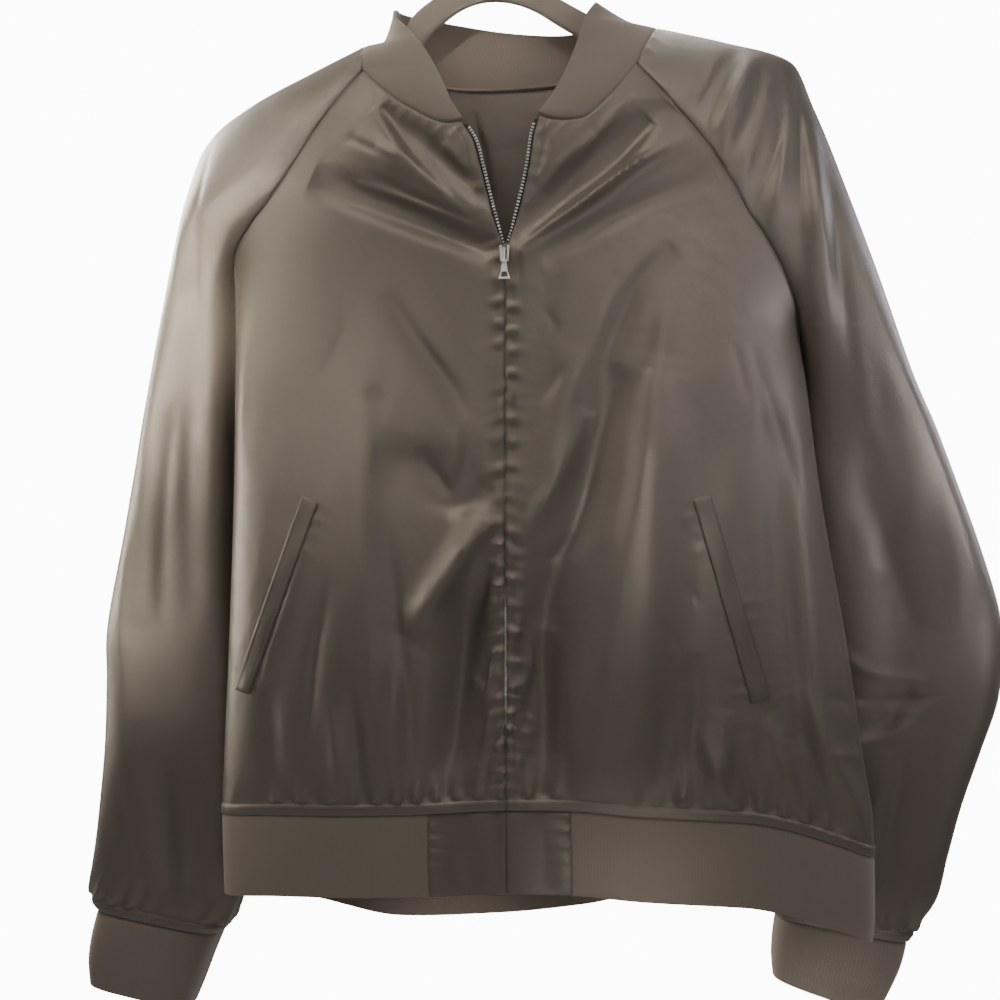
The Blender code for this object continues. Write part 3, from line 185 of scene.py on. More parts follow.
# the finer creases: width, height, the line's points as x, z, and for some the lean to one side
# and the place of the crest
creases = {
    "front": [
        # the wearer's right chest, drawn to the slider
        (10, -2.6, (-150, -227, -120, -241, -75, -259, -38, -273, -9, -284), 0, 0.6),
        (5, 1.8, (-112, -228, -75, -241, -38, -256, -14, -269), 0.2, 0.5),
        (5, -1.7, (-104, -221, -60, -243, -22, -262), 0, 0.6),
        (8, -3.2, (-90, -172, -72, -200, -57, -219, -39, -238, -16, -262), -0.2, 0.35),
        (5, 2, (-97, -174, -79, -203, -62, -224), 0, 0.4),
        (6, -1.6, (-118, -195, -98, -205, -80, -216)), (7, 1.2, (-94, -204, -74, -214)),
        (7, 1.4, (-44, -202, -25, -226)), (5, -0.9, (-114, -326, -122, -348, -135, -372)),
        (13, -3, (-86, -310, -60, -350, -38, -379, -25, -405), 0.2, 0.55),
        (9, -1.3, (-100, -380, -82, -396)), (6, 1, (-60, -300, -40, -330, -28, -352)),
        # the wearer's left chest
        (11, -4.6, (108, -192, 81, -220, 56, -241, 34, -258, 18, -273), 0.2, 0.35),
        (4.5, 2.6, (118, -209, 77, -236, 52, -255, 34, -265, 14, -281), -0.2, 0.45),
        (4.2, -1.8, (126, -212, 98, -228, 70, -249, 42, -266, 14, -283)),
        (7, 1.8, (66, -200, 41, -222, 29, -240)), (6, 1.5, (94, -171, 69, -199, 46, -226)),
        (6, -1.2, (31, -193, 27, -218, 16, -250)),
        (13, -3.2, (122, -282, 98, -306, 84, -334, 70, -369, 62, -402), -0.2, 0.45),
        (6, 1.6, (117, -322, 109, -370, 101, -402), 0.3, 0.5), (7, -1.2, (163, -350, 177, -395)),
        (5, -0.9, (30, -325, 41, -342)), (8, -1.3, (44, -366, 25, -394)),
        (3.5, -1, (11, -276, 12, -296, 12, -312)),
        # the lower front on the right of the zip
        (20, -4.6, (-66, -452, -48, -464, -28, -466, -4, -458), -0.4, 0.62),
        (9, -2.6, (-62, -424, -50, -444, -38, -458), 0, 0.55),
        (9, 2.2, (-36, -410, -34, -432, -42, -456)),
        (19, 6.6, (-6, -474, -22, -494, -40, -520, -62, -554), 0.3, 0.45),
        (26, -6.6, (-20, -500, -30, -560, -36, -620, -40, -656, -44, -694), 0.1, 0.45),
        (7, 1.8, (-24, -590, -16, -602, -18, -618)),
        (16, 2, (-100, -385, -104, -450, -100, -520, -98, -600, -94, -680), -0.2, 0.5),
        (10, -1.8, (-88, -470, -78, -540, -70, -610, -66, -680)),
        (5, 1.5, (-138, -466, -157, -525, -175, -573, -184, -606)),
        (9, -1.8, (-128, -520, -140, -580, -146, -640)),
        (10, 2.2, (-130, -600, -124, -650, -122, -690), 0, 0.6),
        (9, -2.2, (-112, -590, -108, -640, -104, -690), 0, 0.6),
        # the lower front on the left of the zip
        (15, 4.8, (60, -396, 48, -428, 36, -454, 22, -476, 10, -494), -0.1, 0.6),
        (21, -6.4, (86, -366, 68, -416, 56, -466, 42, -512, 32, -556)),
        (9, -2.2, (50, -488, 36, -502, 18, -500)),
        (26, -5.6, (30, -505, 28, -560, 26, -620, 24, -694), -0.2, 0.5),
        (31, 6.8, (115, -360, 105, -420, 94, -480, 85, -530, 75, -590, 67, -650, 61, -694), -0.1, 0.45),
        (8, 1.6, (44, -560, 40, -620, 40, -680)), (5, -1.1, (127, -478, 140, -497)),
        (5, -1.1, (128, -518, 140, -536)), (5, -1.2, (116, -548, 129, -572)),
        (9, -2.4, (118, -600, 112, -650, 110, -684)), (9, 2.2, (132, -590, 130, -640, 128, -684)),
        (9, -2.4, (158, -610, 168, -650, 180, -684), 0, 0.6),
        (9, 2.8, (140, -620, 152, -655, 166, -684), 0, 0.6),
        (9, 3.2, (188, -610, 202, -655, 214, -692), 0, 0.6),
        (11, -4.6, (200, -600, 222, -655, 242, -704), 0, 0.6),
        (12, 5.2, (214, -590, 232, -640, 248, -672, 260, -706), 0, 0.6),
        (11, -2.6, (176, -352, 188, -390, 206, -440, 220, -486)),
        # the sleeves
        (5, -1.5, (-231, -184, -233, -248, -232, -316), 0.4, 0.5),
        (9, 1.4, (-246, -190, -250, -270, -256, -360)), (9, -1.6, (-256, -380, -268, -460, -276, -560)),
        (8, 1.4, (-298, -440, -308, -540, -310, -620)), (7, -1.4, (-318, -690, -300, -740, -296, -784)),
        (6, 1.2, (-262, -700, -262, -750, -266, -790)), (5, 1.6, (136, -178, 146, -158, 154, -140)),
        (6, -2, (143, -196, 156, -170, 166, -144)), (5, 1.8, (150, -204, 166, -172, 178, -142)),
        (6, -2.2, (160, -222, 176, -186, 187, -146)), (5, 2, (168, -238, 184, -196, 194, -152)),
        (7, -2.4, (178, -258, 194, -214, 201, -160)), (7, 2, (190, -278, 197, -238, 200, -206)),
        (5, -3, (211, -150, 213, -208, 211, -330), 0.5, 0.5),
        (7, 2.6, (221, -160, 224, -216, 228, -316)), (9, -2.4, (232, -230, 238, -290, 246, -360)),
        (7, -2, (214, -320, 220, -360, 228, -404)), (13, 1, (246, -330, 262, -400, 282, -470)),
        (13, -1, (250, -430, 276, -500, 300, -566)), (7, 1.8, (232, -560, 264, -590, 310, -598)),
        (7, -2.4, (228, -600, 266, -612, 318, -606)), (7, 1.8, (226, -640, 262, -644, 300, -630)),
        (8, -1.8, (296, -640, 284, -700, 276, -760)), (7, 1.6, (232, -690, 236, -740, 238, -780)),
    ],
    "back": [
        (9, -3, (-130, -190, -92, -240, -70, -300)), (6, 2, (-112, -176, -70, -226, -50, -280)),
        (9, -3, (128, -196, 88, -248, 66, -308)), (6, 1.8, (106, -172, 68, -226, 46, -286)),
        (5, 1.4, (-40, -150, -30, -190, -26, -230)), (5, -1.4, (30, -148, 24, -196, 22, -240)),
        (8, -2.2, (-176, -330, -150, -420, -140, -500)), (7, 2, (-160, -340, -128, -430, -116, -520)),
        (9, -2.4, (170, -360, 140, -440, 128, -520)), (7, 2, (150, -350, 118, -430, 104, -520)),
        (9, -2.6, (-60, -480, -54, -590, -50, -712), 0, 0.6),
        (7, 1.8, (-42, -470, -34, -590, -32, -712), 0, 0.6),
        (9, -2.4, (62, -500, 66, -600, 64, -706), 0, 0.6),
        (7, 1.8, (10, -520, 8, -620, 6, -712), 0, 0.6),
        (8, 2.2, (-112, -560, -104, -640, -100, -716), 0, 0.6),
        (8, -2, (128, -560, 136, -640, 138, -706), 0, 0.6),
        (7, -1.8, (-196, -420, -190, -520, -188, -610)), (7, 1.8, (196, -440, 204, -540, 214, -640)),
        (8, -2, (-250, -300, -262, -400, -270, -520)), (7, 1.8, (-280, -340, -290, -450, -300, -550)),
        (7, -2, (-306, -580, -270, -600, -238, -622)), (7, -1.8, (-310, -690, -300, -740, -294, -784)),
        (8, -2, (258, -330, 276, -420, 300, -510)), (7, 1.8, (300, -400, 322, -470, 338, -540)),
        (7, -2.2, (342, -580, 290, -606, 240, -600)), (7, 1.8, (330, -620, 286, -636, 244, -634)),
        (6, -1.6, (180, -160, 200, -200, 214, -260)), (6, 1.6, (-176, -160, -200, -210, -220, -270)),
    ],
}


# curves through the tables
def smoothAlong(places, values, at):
    # a smooth value between two rows, never past either of them
    places, values = np.asarray(places, float), np.asarray(values, float)
    at = np.clip(np.asarray(at, float), places[0], places[-1])
    steps = np.diff(places)
    slopes = np.diff(values) / steps
    tangents = np.concatenate([slopes[:1], np.zeros(len(slopes) - 1), slopes[-1:]])
    product, total = slopes[:-1] * slopes[1:], slopes[:-1] + slopes[1:]
    same = product > 0
    tangents[1:-1][same] = 2 * product[same] / total[same]
    i = np.clip(np.searchsorted(places, at, side="right") - 1, 0, len(steps) - 1)
    t = (at - places[i]) / steps[i]
    start, end = tangents[i] * steps[i], tangents[i + 1] * steps[i]
    return (values[i] * (2 * t ** 3 - 3 * t ** 2 + 1) + start * (t ** 3 - 2 * t ** 2 + t)
            + values[i + 1] * (3 * t ** 2 - 2 * t ** 3) + end * (t ** 3 - t ** 2))


def read(table, key, column, at):
    return smoothAlong(table[key], table[column], at)


def marksAlong(points):
    # the way along a line to each of its points
    return np.concatenate([[0], np.cumsum(np.linalg.norm(np.diff(points, axis=0), axis=1))])


def readLine(at, marks, line):
    return np.stack([np.interp(at, marks, column) for column in np.transpose(line)], axis=1)


def pathAt(points, shares):
    # points at shares of the length of a smooth curve through all the points
    points = np.asarray(points, float)
    shares = np.atleast_1d(np.asarray(shares, float))
    marks = marksAlong(points)
    at = np.clip(shares, 0, 1) * marks[-1]
    i = np.clip(np.searchsorted(marks, at, side="right") - 1, 0, len(points) - 2)
    t = ((at - marks[i]) / (marks[i + 1] - marks[i]))[:, None]
    padded = np.vstack([2 * points[0] - points[1], points, 2 * points[-1] - points[-2]])
    p0, p1, p2, p3 = padded[i], padded[i + 1], padded[i + 2], padded[i + 3]
    return 0.5 * (2 * p1 + (p2 - p0) * t + (2 * p0 - 5 * p1 + 4 * p2 - p3) * t ** 2
                  + (3 * p1 - p0 - 3 * p2 + p3) * t ** 3)


def ease(value):
    value = np.clip(value, 0, 1)
    return value * value * (3 - 2 * value)


def bump(distance, width):
    return np.exp(-(distance / width) ** 2)


def broadRelief(face, x, z):
    total = np.zeros(np.broadcast(x, z).shape)
    for x0, z0, x1, z1, bow, width, height in broadFolds[face]:
        runX, runZ = x1 - x0, z1 - z0
        length = math.hypot(runX, runZ)
        along = ((x - x0) * runX + (z - z0) * runZ) / length ** 2
        hump = 4 * np.clip(along, 0, 1) * (1 - np.clip(along, 0, 1))
        across = ((x - x0) * runZ - (z - z0) * runX) / length - bow * hump
        total += height * hump ** 0.7 * np.exp(-3 * (across / width) ** 2)
    return total


def nearLine(line, x, z):
    # how far off the line each point is, on which side, and its place along the line
    gap = np.full(x.shape, 1e9)
    side, place = np.zeros(x.shape), np.zeros(x.shape)
    run, marks = np.diff(line, axis=0), marksAlong(line)
    for k, (runX, runZ) in enumerate(run):
        awayX, awayZ, length = x - line[k, 0], z - line[k, 1], marks[k + 1] - marks[k]
        t = np.clip((awayX * runX + awayZ * runZ) / length ** 2, 0, 1)
        away = np.hypot(awayX - t * runX, awayZ - t * runZ)
        nearer = away < gap
        gap = np.where(nearer, away, gap)
        side = np.where(nearer, np.sign(awayX * runZ - awayZ * runX), side)
        place = np.where(nearer, marks[k] + t * length, place)
    return gap, side, place, marks[-1]


def creaseRelief(face, x, z):
    # each crease follows a curved line, and may be steeper on one side
    x, z = np.broadcast_arrays(x, z)
    total = np.zeros(x.shape)
    for width, height, line, *shape in creases[face]:
        lean, crest = shape or (0.0, 0.5)
        line = pathAt(np.reshape(line, (-1, 2)), np.linspace(0, 1, 16))
        reach = 1.8 * width
        close = ((x > line[:, 0].min() - reach) & (x < line[:, 0].max() + reach)
                 & (z > line[:, 1].min() - reach) & (z < line[:, 1].max() + reach))
        if not close.any():
            continue
        gap, side, place, length = nearLine(line, x[close], z[close])
        place = (place / length) ** (math.log(0.5) / math.log(crest))
        hump = (4 * place * (1 - place)) ** 0.75
        fall = np.exp(-2.6 * (gap / (width * (1 + lean * side))) ** 1.7)
        total[close] += creaseDepth * height * hump * fall
    return total


def softWaves(x, z, seed, height):
    # slow uneven swells, mostly running downwards
    draw = random.Random(seed)
    total = np.zeros(np.broadcast(x, z).shape)
    for k in range(7):
        turn = draw.uniform(-0.5, 0.5)
        length = draw.uniform(24, 70)
        phase = draw.uniform(0, 2 * math.pi)
        total += np.sin((x * math.cos(turn) + z * math.sin(turn) * 0.7) * 2 * math.pi / length + phase
                        + 0.8 * np.sin(z / draw.uniform(30, 60) + phase))
    return total * height / 7


def puckers(place, away, pitch, height, reach, shift):
    # small uneven gathers beside a sewn line, some pinched and some hardly there
    turns = place / pitch
    wander = 1.5 * np.sin(turns / 2.3 + shift) + 0.9 * np.sin(turns / 1.37 + 2 * shift)
    strength = 0.55 + 0.3 * np.sin(turns / 1.9 + 3 * shift) + 0.25 * np.sin(turns / 0.83)
    wave = 0.5 + 0.5 * np.sin(2 * math.pi * turns + wander)
    return (height * np.maximum(strength, 0.1) * (1.9 * wave ** 2.2 - 0.7)
            * np.exp(-(np.maximum(away, 0) / reach) ** 1.4))


# the body's surfaces
def hemSeam(x, face):
    return read(body["hem"][face], "x", "z", x)


def halfWidth(x, z):
    return np.where(x < 0, read(body["rings"], "z", "right", z), read(body["rings"], "z", "left", z))


def facing(x, z):
    share = np.minimum(np.abs(x) / halfWidth(x, z), 1.0)
    return (1 - share ** body["roundness"]) ** (1 / body["roundness"])


def smoothDepth(x, z, face):
    side = read(body["rings"], "z", "side", z)
    return side + (read(body["rings"], "z", face, z) - side) * facing(x, z)


def depth(x, z, face):
    sign = signs[face]
    above = z - hemSeam(x, face)
    relief = broadRelief(face, x, z) * ease(above / foldFade)
    relief = relief + creaseRelief(face, x, z) * ease(above / 16)
    relief = relief + softWaves(x, z, 11 if face == "front" else 12, 0.7) * ease(above / 30)
    return smoothDepth(x, z, face) + sign * relief * facing(x, z)


def frontEdge(side, z):
    sign = signs[side]
    closed = zipX + sign * read(body["lip"], "z", "reach", z)
    return np.where(z > body["sliderTop"], read(body["openEdge"][side], "z", "x", z), closed)


def seamLine(side, face, shares):
    x, z = pathAt(body["raglan"][face, side], shares).T
    return np.stack([x, depth(x, z, face), z], axis=1)


def sideFoot(side):
    return body["hem"]["front"]["z"][0 if side == "right" else -1]


def sideSeam(side, shares):
    foot, armpit = sideFoot(side), body["raglan"]["front", side][0][1]
    z = foot + (armpit - foot) * shares
    x = read(body["rings"], "z", side, z) * signs[side]
    return np.stack([x, read(body["rings"], "z", "side", z), z], axis=1)


density = {
    "tuckRows": [0, 0.5, 1.1, 2, 3.4, 5, 6.2, 7, 7.6, 8.1, 8.6, 9.3, 10.4, 12],
    "row": 2.4, "sideHeight": 380.0,
    "raglanRows": 84,
    "frontColumns": 112,
    "backColumns": 168,
    "sleeveRow": 2.8,
    "sleeveHalf": 56,
    "knitPitch": 2.3,
    "knitSteps": 2,
}


def evenly(count, near=(0.25, 0.55)):
    # even places from 0 to 1, with a few more close to both ends
    near = np.array(near) / count
    return np.sort(np.concatenate([np.linspace(0, 1, count + 1), near, 1 - near]))


def sideShares(side):
    height = body["raglan"]["front", side][0][1] - sideFoot(side)
    start = density["tuckRows"][-1]
    # both sides have as many rows, so that the back's rows can run across
    count = int(density["sideHeight"] / density["row"])
    even = np.linspace(start, height, count + 1)[1:]
    return np.concatenate([density["tuckRows"], even]) / height


raglanShares = evenly(density["raglanRows"], (0.3, 0.6))[3:]


def outerEdge(side, face):
    return np.vstack([sideSeam(side, sideShares(side)), seamLine(side, face, raglanShares)])


def bowed(points, x, z, share, upper):
    # the highest rows follow the neck seam
    onto = pathAt(points, share)
    first, last = np.array(points[0], float), np.array(points[-1], float)
    chord = first + (last - first) * share[:, None]
    return x + (onto[:, 0] - chord[:, 0]) * upper ** 2, z + (onto[:, 1] - chord[:, 1]) * upper ** 2


def upperShares(side):
    return np.concatenate([np.zeros(len(sideShares(side))), raglanShares])[:, None]


def frontPanel(side):
    outer = outerEdge(side, "front")
    upper = upperShares(side)
    armpitZ = body["raglan"]["front", side][0][1]
    neck = body["neck"][side]
    turn = evenly(density["frontColumns"])
    share = np.sin(math.pi / 2 * turn) ** 1.25
    innerZ = np.where(upper > 0, armpitZ + (neck[0][1] - armpitZ) * upper, outer[:, 2:])
    innerX = frontEdge(side, innerZ)
    x = innerX + (outer[:, :1] - innerX) * share
    z = innerZ + (outer[:, 2:] - innerZ) * share
    drop = 1 - ease((z - sideFoot(side)) / 200)
    z = z + (hemSeam(x, "front") - sideFoot(side)) * drop
    x, z = bowed(neck, x, z, share, upper)
    points = np.stack([x, depth(x, z, "front"), z], axis=2)
    points[:, -1] = outer
    return points


def backPanel():
    right, left = outerEdge("right", "back"), outerEdge("left", "back")
    upper = upperShares("right")
    turn = math.pi * (evenly(density["backColumns"]) - 0.5)
    share = 0.5 + 0.5 * np.sin(turn)
    x = right[:, :1] + (left[:, :1] - right[:, :1]) * share
    z = right[:, 2:] + (left[:, 2:] - right[:, 2:]) * share
    flat = sideFoot("right") + (sideFoot("left") - sideFoot("right")) * share
    z = z + (hemSeam(x, "back") - flat) * (1 - ease((z - flat) / 260))
    x, z = bowed(body["neck"]["back"], x, z, share, upper)
    points = np.stack([x, depth(x, z, "back"), z], axis=2)
    points[:, 0], points[:, -1] = right, left
    return points


# the sleeves' surfaces
def bend(angle, roundness):
    sine = np.sin(angle)
    return sine, np.maximum(1 - np.abs(sine) ** roundness, 0) ** (1 / roundness)


def halfRing(seam, ridge, start, reach, face, roundness, turns, fold):
    sign = signs[face]
    start, reach = np.radians(start)[:, None], reach[:, None]
    roundness, fold = np.asarray(roundness, float)[..., None], fold[:, None]
    sine, cosine = bend(start, roundness)
    middle = (seam - ridge * sine) / (1 - sine)
    middle[:, 1:2] = (seam[:, 1:2] - ridge[:, 1:2] * sine - sign * reach * cosine) / (1 - sine)
    angle = start + (math.pi / 2 - start) * turns
    sine, cosine = bend(angle, roundness)
    points = middle[:, None] + (ridge - middle)[:, None] * sine[..., None]
    points[..., 1] += sign * reach * cosine
    x, z = points[..., 0], points[..., 2]
    relief = (broadRelief(face, x, z) + creaseRelief(face, x, z)
              + softWaves(x, z, 21 if face == "front" else 22, 0.9))
    points[..., 1] += sign * relief * np.cos(angle) * fold
    return points


def lowerRings(rows, shares, roundness, fold, turns):
    outer = pathAt([row[0] for row in rows], shares)
    inner = pathAt([row[1] for row in rows], shares)
    places = np.arange(len(rows)) / (len(rows) - 1)
    start = np.full(len(shares), -90.0)
    halves = [halfRing(inner, outer, start, np.interp(shares, places, [row[k] for row in rows]),
                       face, np.full(len(shares), roundness), turns, fold)
              for face, k in (("front", 2), ("back", 3))]
    return np.concatenate([halves[0], halves[1][:, -2::-1]], axis=1)


def ridgeAt(side, shares):
    table = sleeves["upper"][side]
    return np.stack([read(table, "seam", axis, shares) for axis in "xyz"], axis=1)


def sleeveLength(side):
    # the mean of its outer and its inner line
    outer, inner = list(zip(*sleeves["lower"][side]))[:2]
    return (marksAlong(outer)[-1] + marksAlong(inner)[-1]) / 2


def sleevePanel(side):
    # rows from the cuff up to the neck; below the armpit the first and last columns meet
    length = sleeveLength(side)
    count = int(length / density["sleeveRow"])
    start = density["tuckRows"][-1]
    raised = np.concatenate([density["tuckRows"], np.linspace(start, length, count + 1)[1:-1]])
    lower = 1 - raised / length
    turns = evenly(density["sleeveHalf"], (0.2, 0.5))
    fold = ease((1 - lower) * 14)
    rings = lowerRings(sleeves["lower"][side], lower, sleeves["roundness"], fold, turns)
    shares = np.concatenate([[0], raglanShares])
    ridge = ridgeAt(side, shares)
    table = sleeves["upper"][side]
    mix = ease(shares / 0.5)
    roundness = sleeves["roundness"] + (sleeves["shoulderRoundness"] - sleeves["roundness"]) * mix
    halves = []
    for face in ("front", "back"):
        seam = seamLine(side, face, shares)
        flat = seam.copy()
        flat[:, 1] = smoothDepth(seam[:, 0], seam[:, 2], face)
        half = halfRing(flat, ridge, read(table, "seam", "start", shares),
                        read(table, "seam", face, shares), face, roundness, turns, np.ones(len(shares)))
        # the cloth leaves the seam where the body's cloth is
        half[..., 1] += (seam[:, 1] - flat[:, 1])[:, None] * np.exp(-(turns / 0.12) ** 2)
        half[:, 0] = seam
        halves.append(half)
    top = np.concatenate([halves[0], halves[1][:, -2::-1]], axis=1)
    points = np.concatenate([rings, top], axis=0)
    # the cloth runs evenly past the armpit, away from the seams
    near = bump(np.arange(len(points)) - len(lower), sleeves["armpitRows"])[1:-1, None, None]
    inside = np.concatenate([turns, turns[-2::-1]])
    near = near * ease((inside - 0.02) / 0.2)[None, :, None]
    for turn in range(sleeves["armpitTurns"]):
        points[1:-1] += (points[2:] + points[:-2] - 2 * points[1:-1]) * 0.25 * near
    return points, len(lower)


# from points to cloth
def clothNormals(points, outward):
    along = np.empty_like(points)
    along[:, 1:-1] = points[:, 2:] - points[:, :-2]
    along[:, 0], along[:, -1] = points[:, 1] - points[:, 0], points[:, -1] - points[:, -2]
    up = np.empty_like(points)
    up[1:-1] = points[2:] - points[:-2]
    up[0], up[-1] = points[1] - points[0], points[-1] - points[-2]
    normals = np.cross(along, up) * outward
    return normals / np.maximum(np.linalg.norm(normals, axis=2, keepdims=True), 1e-9)


def rimOf(points):
    rows, wide = points.shape[:2]
    rim = {(0, j) for j in range(wide)} | {(rows - 1, j) for j in range(wide)}
    return sorted(rim | {(i, 0) for i in range(rows)} | {(i, wide - 1) for i in range(rows)})


def shareNormals(pairs):
    # where two pieces are sewn together their edges lean the same way
    spots = [(Vector(points[i, j]), normals, i, j)
             for points, normals in pairs for i, j in rimOf(points)]
    tree = KDTree(len(spots))
    for number, spot in enumerate(spots):
        tree.insert(spot[0], number)
    tree.balance()
    shared = []
    for point, normals, i, j in spots:
        near = [spots[found[1]] for found in tree.find_range(point, 0.05)]
        total = sum((other[1][other[2], other[3]] for other in near), np.zeros(3))
        shared.append(total / max(np.linalg.norm(total), 1e-9))
    for (point, normals, i, j), direction in zip(spots, shared):
        normals[i, j] = direction


def edgeDistances(points):
    # along the cloth from the first and last column and the first and last row
    across = np.cumsum(np.linalg.norm(np.diff(points, axis=1), axis=2), axis=1)
    across = np.concatenate([np.zeros((len(points), 1)), across], axis=1)
    up = np.cumsum(np.linalg.norm(np.diff(points, axis=0), axis=2), axis=0)
    up = np.concatenate([np.zeros((1, points.shape[1])), up], axis=0)
    return across, across[:, -1:] - across, up, up[-1:] - up


def deselectAll():
    for item in bpy.context.selected_objects:
        item.select_set(False)


def pick(piece):
    deselectAll()
    piece.select_set(True)
    bpy.context.view_layer.objects.active = piece


def added(primitive, **settings):
    deselectAll()
    primitive(**settings)
    return bpy.context.object


def linked(name, data):
    piece = bpy.data.objects.new(name, data)
    bpy.context.scene.collection.objects.link(piece)
    return piece


def modify(piece, kind, **settings):
    pick(piece)
    made = piece.modifiers.new(kind.title(), kind)
    for name, value in settings.items():
        setattr(made, name, value)
    bpy.ops.object.modifier_apply(modifier=made.name)


facingOut = (bpy.ops.mesh.normals_make_consistent, {"inside": False})


def editing(piece, *steps):
    pick(piece)
    bpy.ops.object.mode_set(mode="EDIT")
    bpy.ops.mesh.select_all(action="SELECT")
    for step, settings in steps:
        step(**settings)
    bpy.ops.object.mode_set(mode="OBJECT")


def toWorld(points):
    return (points - np.array([hookX, 0, 0])) * mm


def laidSheet(name, points, outward=1, thick=0.0, closed=False, marks=None, uv=None):
    # a flat grid is added, laid on its form, and given its thickness inwards
    if uv is None:
        uv = np.stack(edgeDistances(points)[::2], axis=2) * mm
    if marks is None:
        marks = np.zeros(points.shape[:2])
    if outward < 0:
        points, uv, marks = points[:, ::-1], uv[:, ::-1], marks[:, ::-1]
    rows, wide = points.shape[:2]
    piece = added(bpy.ops.mesh.primitive_grid_add, x_subdivisions=wide - 1, y_subdivisions=rows - 1,
                  size=1)
    piece.name = name
    mesh = piece.data
    flat = np.empty(rows * wide * 3)
    mesh.vertices.foreach_get("co", flat)
    flat = flat.reshape(-1, 3).round(6)
    order = np.lexsort((flat[:, 0], flat[:, 1]))
    laid = np.empty((rows * wide, 3))
    laid[order] = toWorld(points.reshape(-1, 3))
    mesh.vertices.foreach_set("co", laid.ravel())
    spots = np.empty(rows * wide, int)
    spots[order] = np.arange(rows * wide)
    corners = np.empty(len(mesh.loops), int)
    mesh.loops.foreach_get("vertex_index", corners)
    mesh.uv_layers.active.name = "UVMap"
    mesh.uv_layers.active.data.foreach_set("uv", uv.reshape(-1, 2)[spots[corners]].ravel())
    # the marks along seams and sewn grooves are kept for the satin, which paints them darker as painted
    # shade
    seamShade = mesh.attributes.new("seamShade", "FLOAT", "POINT")
    seamShade.data.foreach_set("value", marks.reshape(-1)[spots].astype(np.float32))
    mesh.update()
    if closed:
        editing(piece, (bpy.ops.mesh.remove_doubles, {"threshold": 0.00002}))
    if thick:
        modify(piece, "SOLIDIFY", thickness=thick * mm, offset=-1)
    return piece


def smooth(piece, angle=50):
    pick(piece)
    bpy.ops.object.shade_smooth_by_angle(angle=math.radians(angle))


def finished(piece, finish, replaced=(), rides="jacket"):
    piece.data.materials.clear()
    piece.data.materials.append(finish)
    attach(piece, rides)
    if replaced:
        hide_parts(*replaced)


def offsetLine(points, normals, edge, away):
    # a line on the cloth, a fixed way in from one of its edges
    if edge in ("bottom", "top"):
        points, normals = points.transpose(1, 0, 2), normals.transpose(1, 0, 2)
    if edge in ("last", "top"):
        points, normals = points[:, ::-1], normals[:, ::-1]
    across = edgeDistances(points)[0]
    where = np.array([np.interp(away, line, np.arange(len(line))) for line in across])
    low = np.minimum(where.astype(int), points.shape[1] - 2)
    part = (where - low)[:, None]
    rows = np.arange(len(points))
    return (points[rows, low] * (1 - part) + points[rows, low + 1] * part,
            normals[rows, low] * (1 - part) + normals[rows, low + 1] * part)


# finishes
class Signal:
    # one value inside a finish, so that maths on it reads as maths
    def __init__(self, finish, socket):
        self.finish, self.socket = finish, socket

    def maths(self, operation, first, second=0.0):
        return self.finish.node("ShaderNodeMath", {"operation": operation}, {0: first, 1: second})

    __add__ = lambda self, other: self.maths("ADD", self, other)
    __radd__ = lambda self, other: self.maths("ADD", other, self)
    __sub__ = lambda self, other: self.maths("SUBTRACT", self, other)
    __mul__ = lambda self, other: self.maths("MULTIPLY", self, other)
    __abs__ = lambda self: self.maths("ABSOLUTE", self)


class Finish:
    def __init__(self, name, constants):
        self.material = bpy.data.materials.new(name)
        self.material.use_nodes = True
        self.tree = self.material.node_tree
        self.shader = self.tree.nodes["Principled BSDF"]
        for socket, value in constants.items():
            self.shader.inputs[socket].default_value = value

    def node(self, kind, settings=(), sockets=(), output=0):
        made = self.tree.nodes.new(kind)
        for name, value in dict(settings).items():
            setattr(made, name, value)
        for name, value in dict(sockets).items():
            if isinstance(value, Signal):
                self.tree.links.new(value.socket, made.inputs[name])
            else:
                made.inputs[name].default_value = value
        return Signal(self, made.outputs[output])

    def feed(self, socket, signal):
        self.tree.links.new(signal.socket, self.shader.inputs[socket])

    def place(self):
        return self.node("ShaderNodeTexCoord", output="Object")

    def cloth(self):
        return self.node("ShaderNodeUVMap", {"uv_map": "UVMap"})

    def split(self, place):
        # the parts of a place across and along the cloth
        across = self.node("ShaderNodeSeparateXYZ", sockets={0: place})
        return across, Signal(self, across.socket.node.outputs[1])

    def noise(self, place, scale, detail=2.0, roughness=0.5):
        return self.node("ShaderNodeTexNoise", sockets={
            "Vector": place, "Scale": scale, "Detail": detail, "Roughness": roughness})

    def stretched(self, place, scale):
        return self.node("ShaderNodeMapping", sockets={"Vector": place, "Scale": scale})

    def shades(self, factor, dark, light):
        return self.node("ShaderNodeMix", {"data_type": "RGBA"}, {0: factor, 6: dark, 7: light}, 2)

    def paint(self, factor, colour, dark, light):
        self.feed("Base Color", self.shades(factor, tone(colour, dark), tone(colour, light)))

    def wave(self, signal, length):
        return self.node("ShaderNodeMath", {"operation": "SINE"}, {0: signal * (2 * math.pi / length)})

    def relief(self, height, distance):
        bump = self.node("ShaderNodeBump", sockets={"Height": height, "Distance": distance})
        self.feed("Normal", bump)


def tone(colour, factor):
    return tuple(min(part * factor, 1) for part in colour) + (1,)


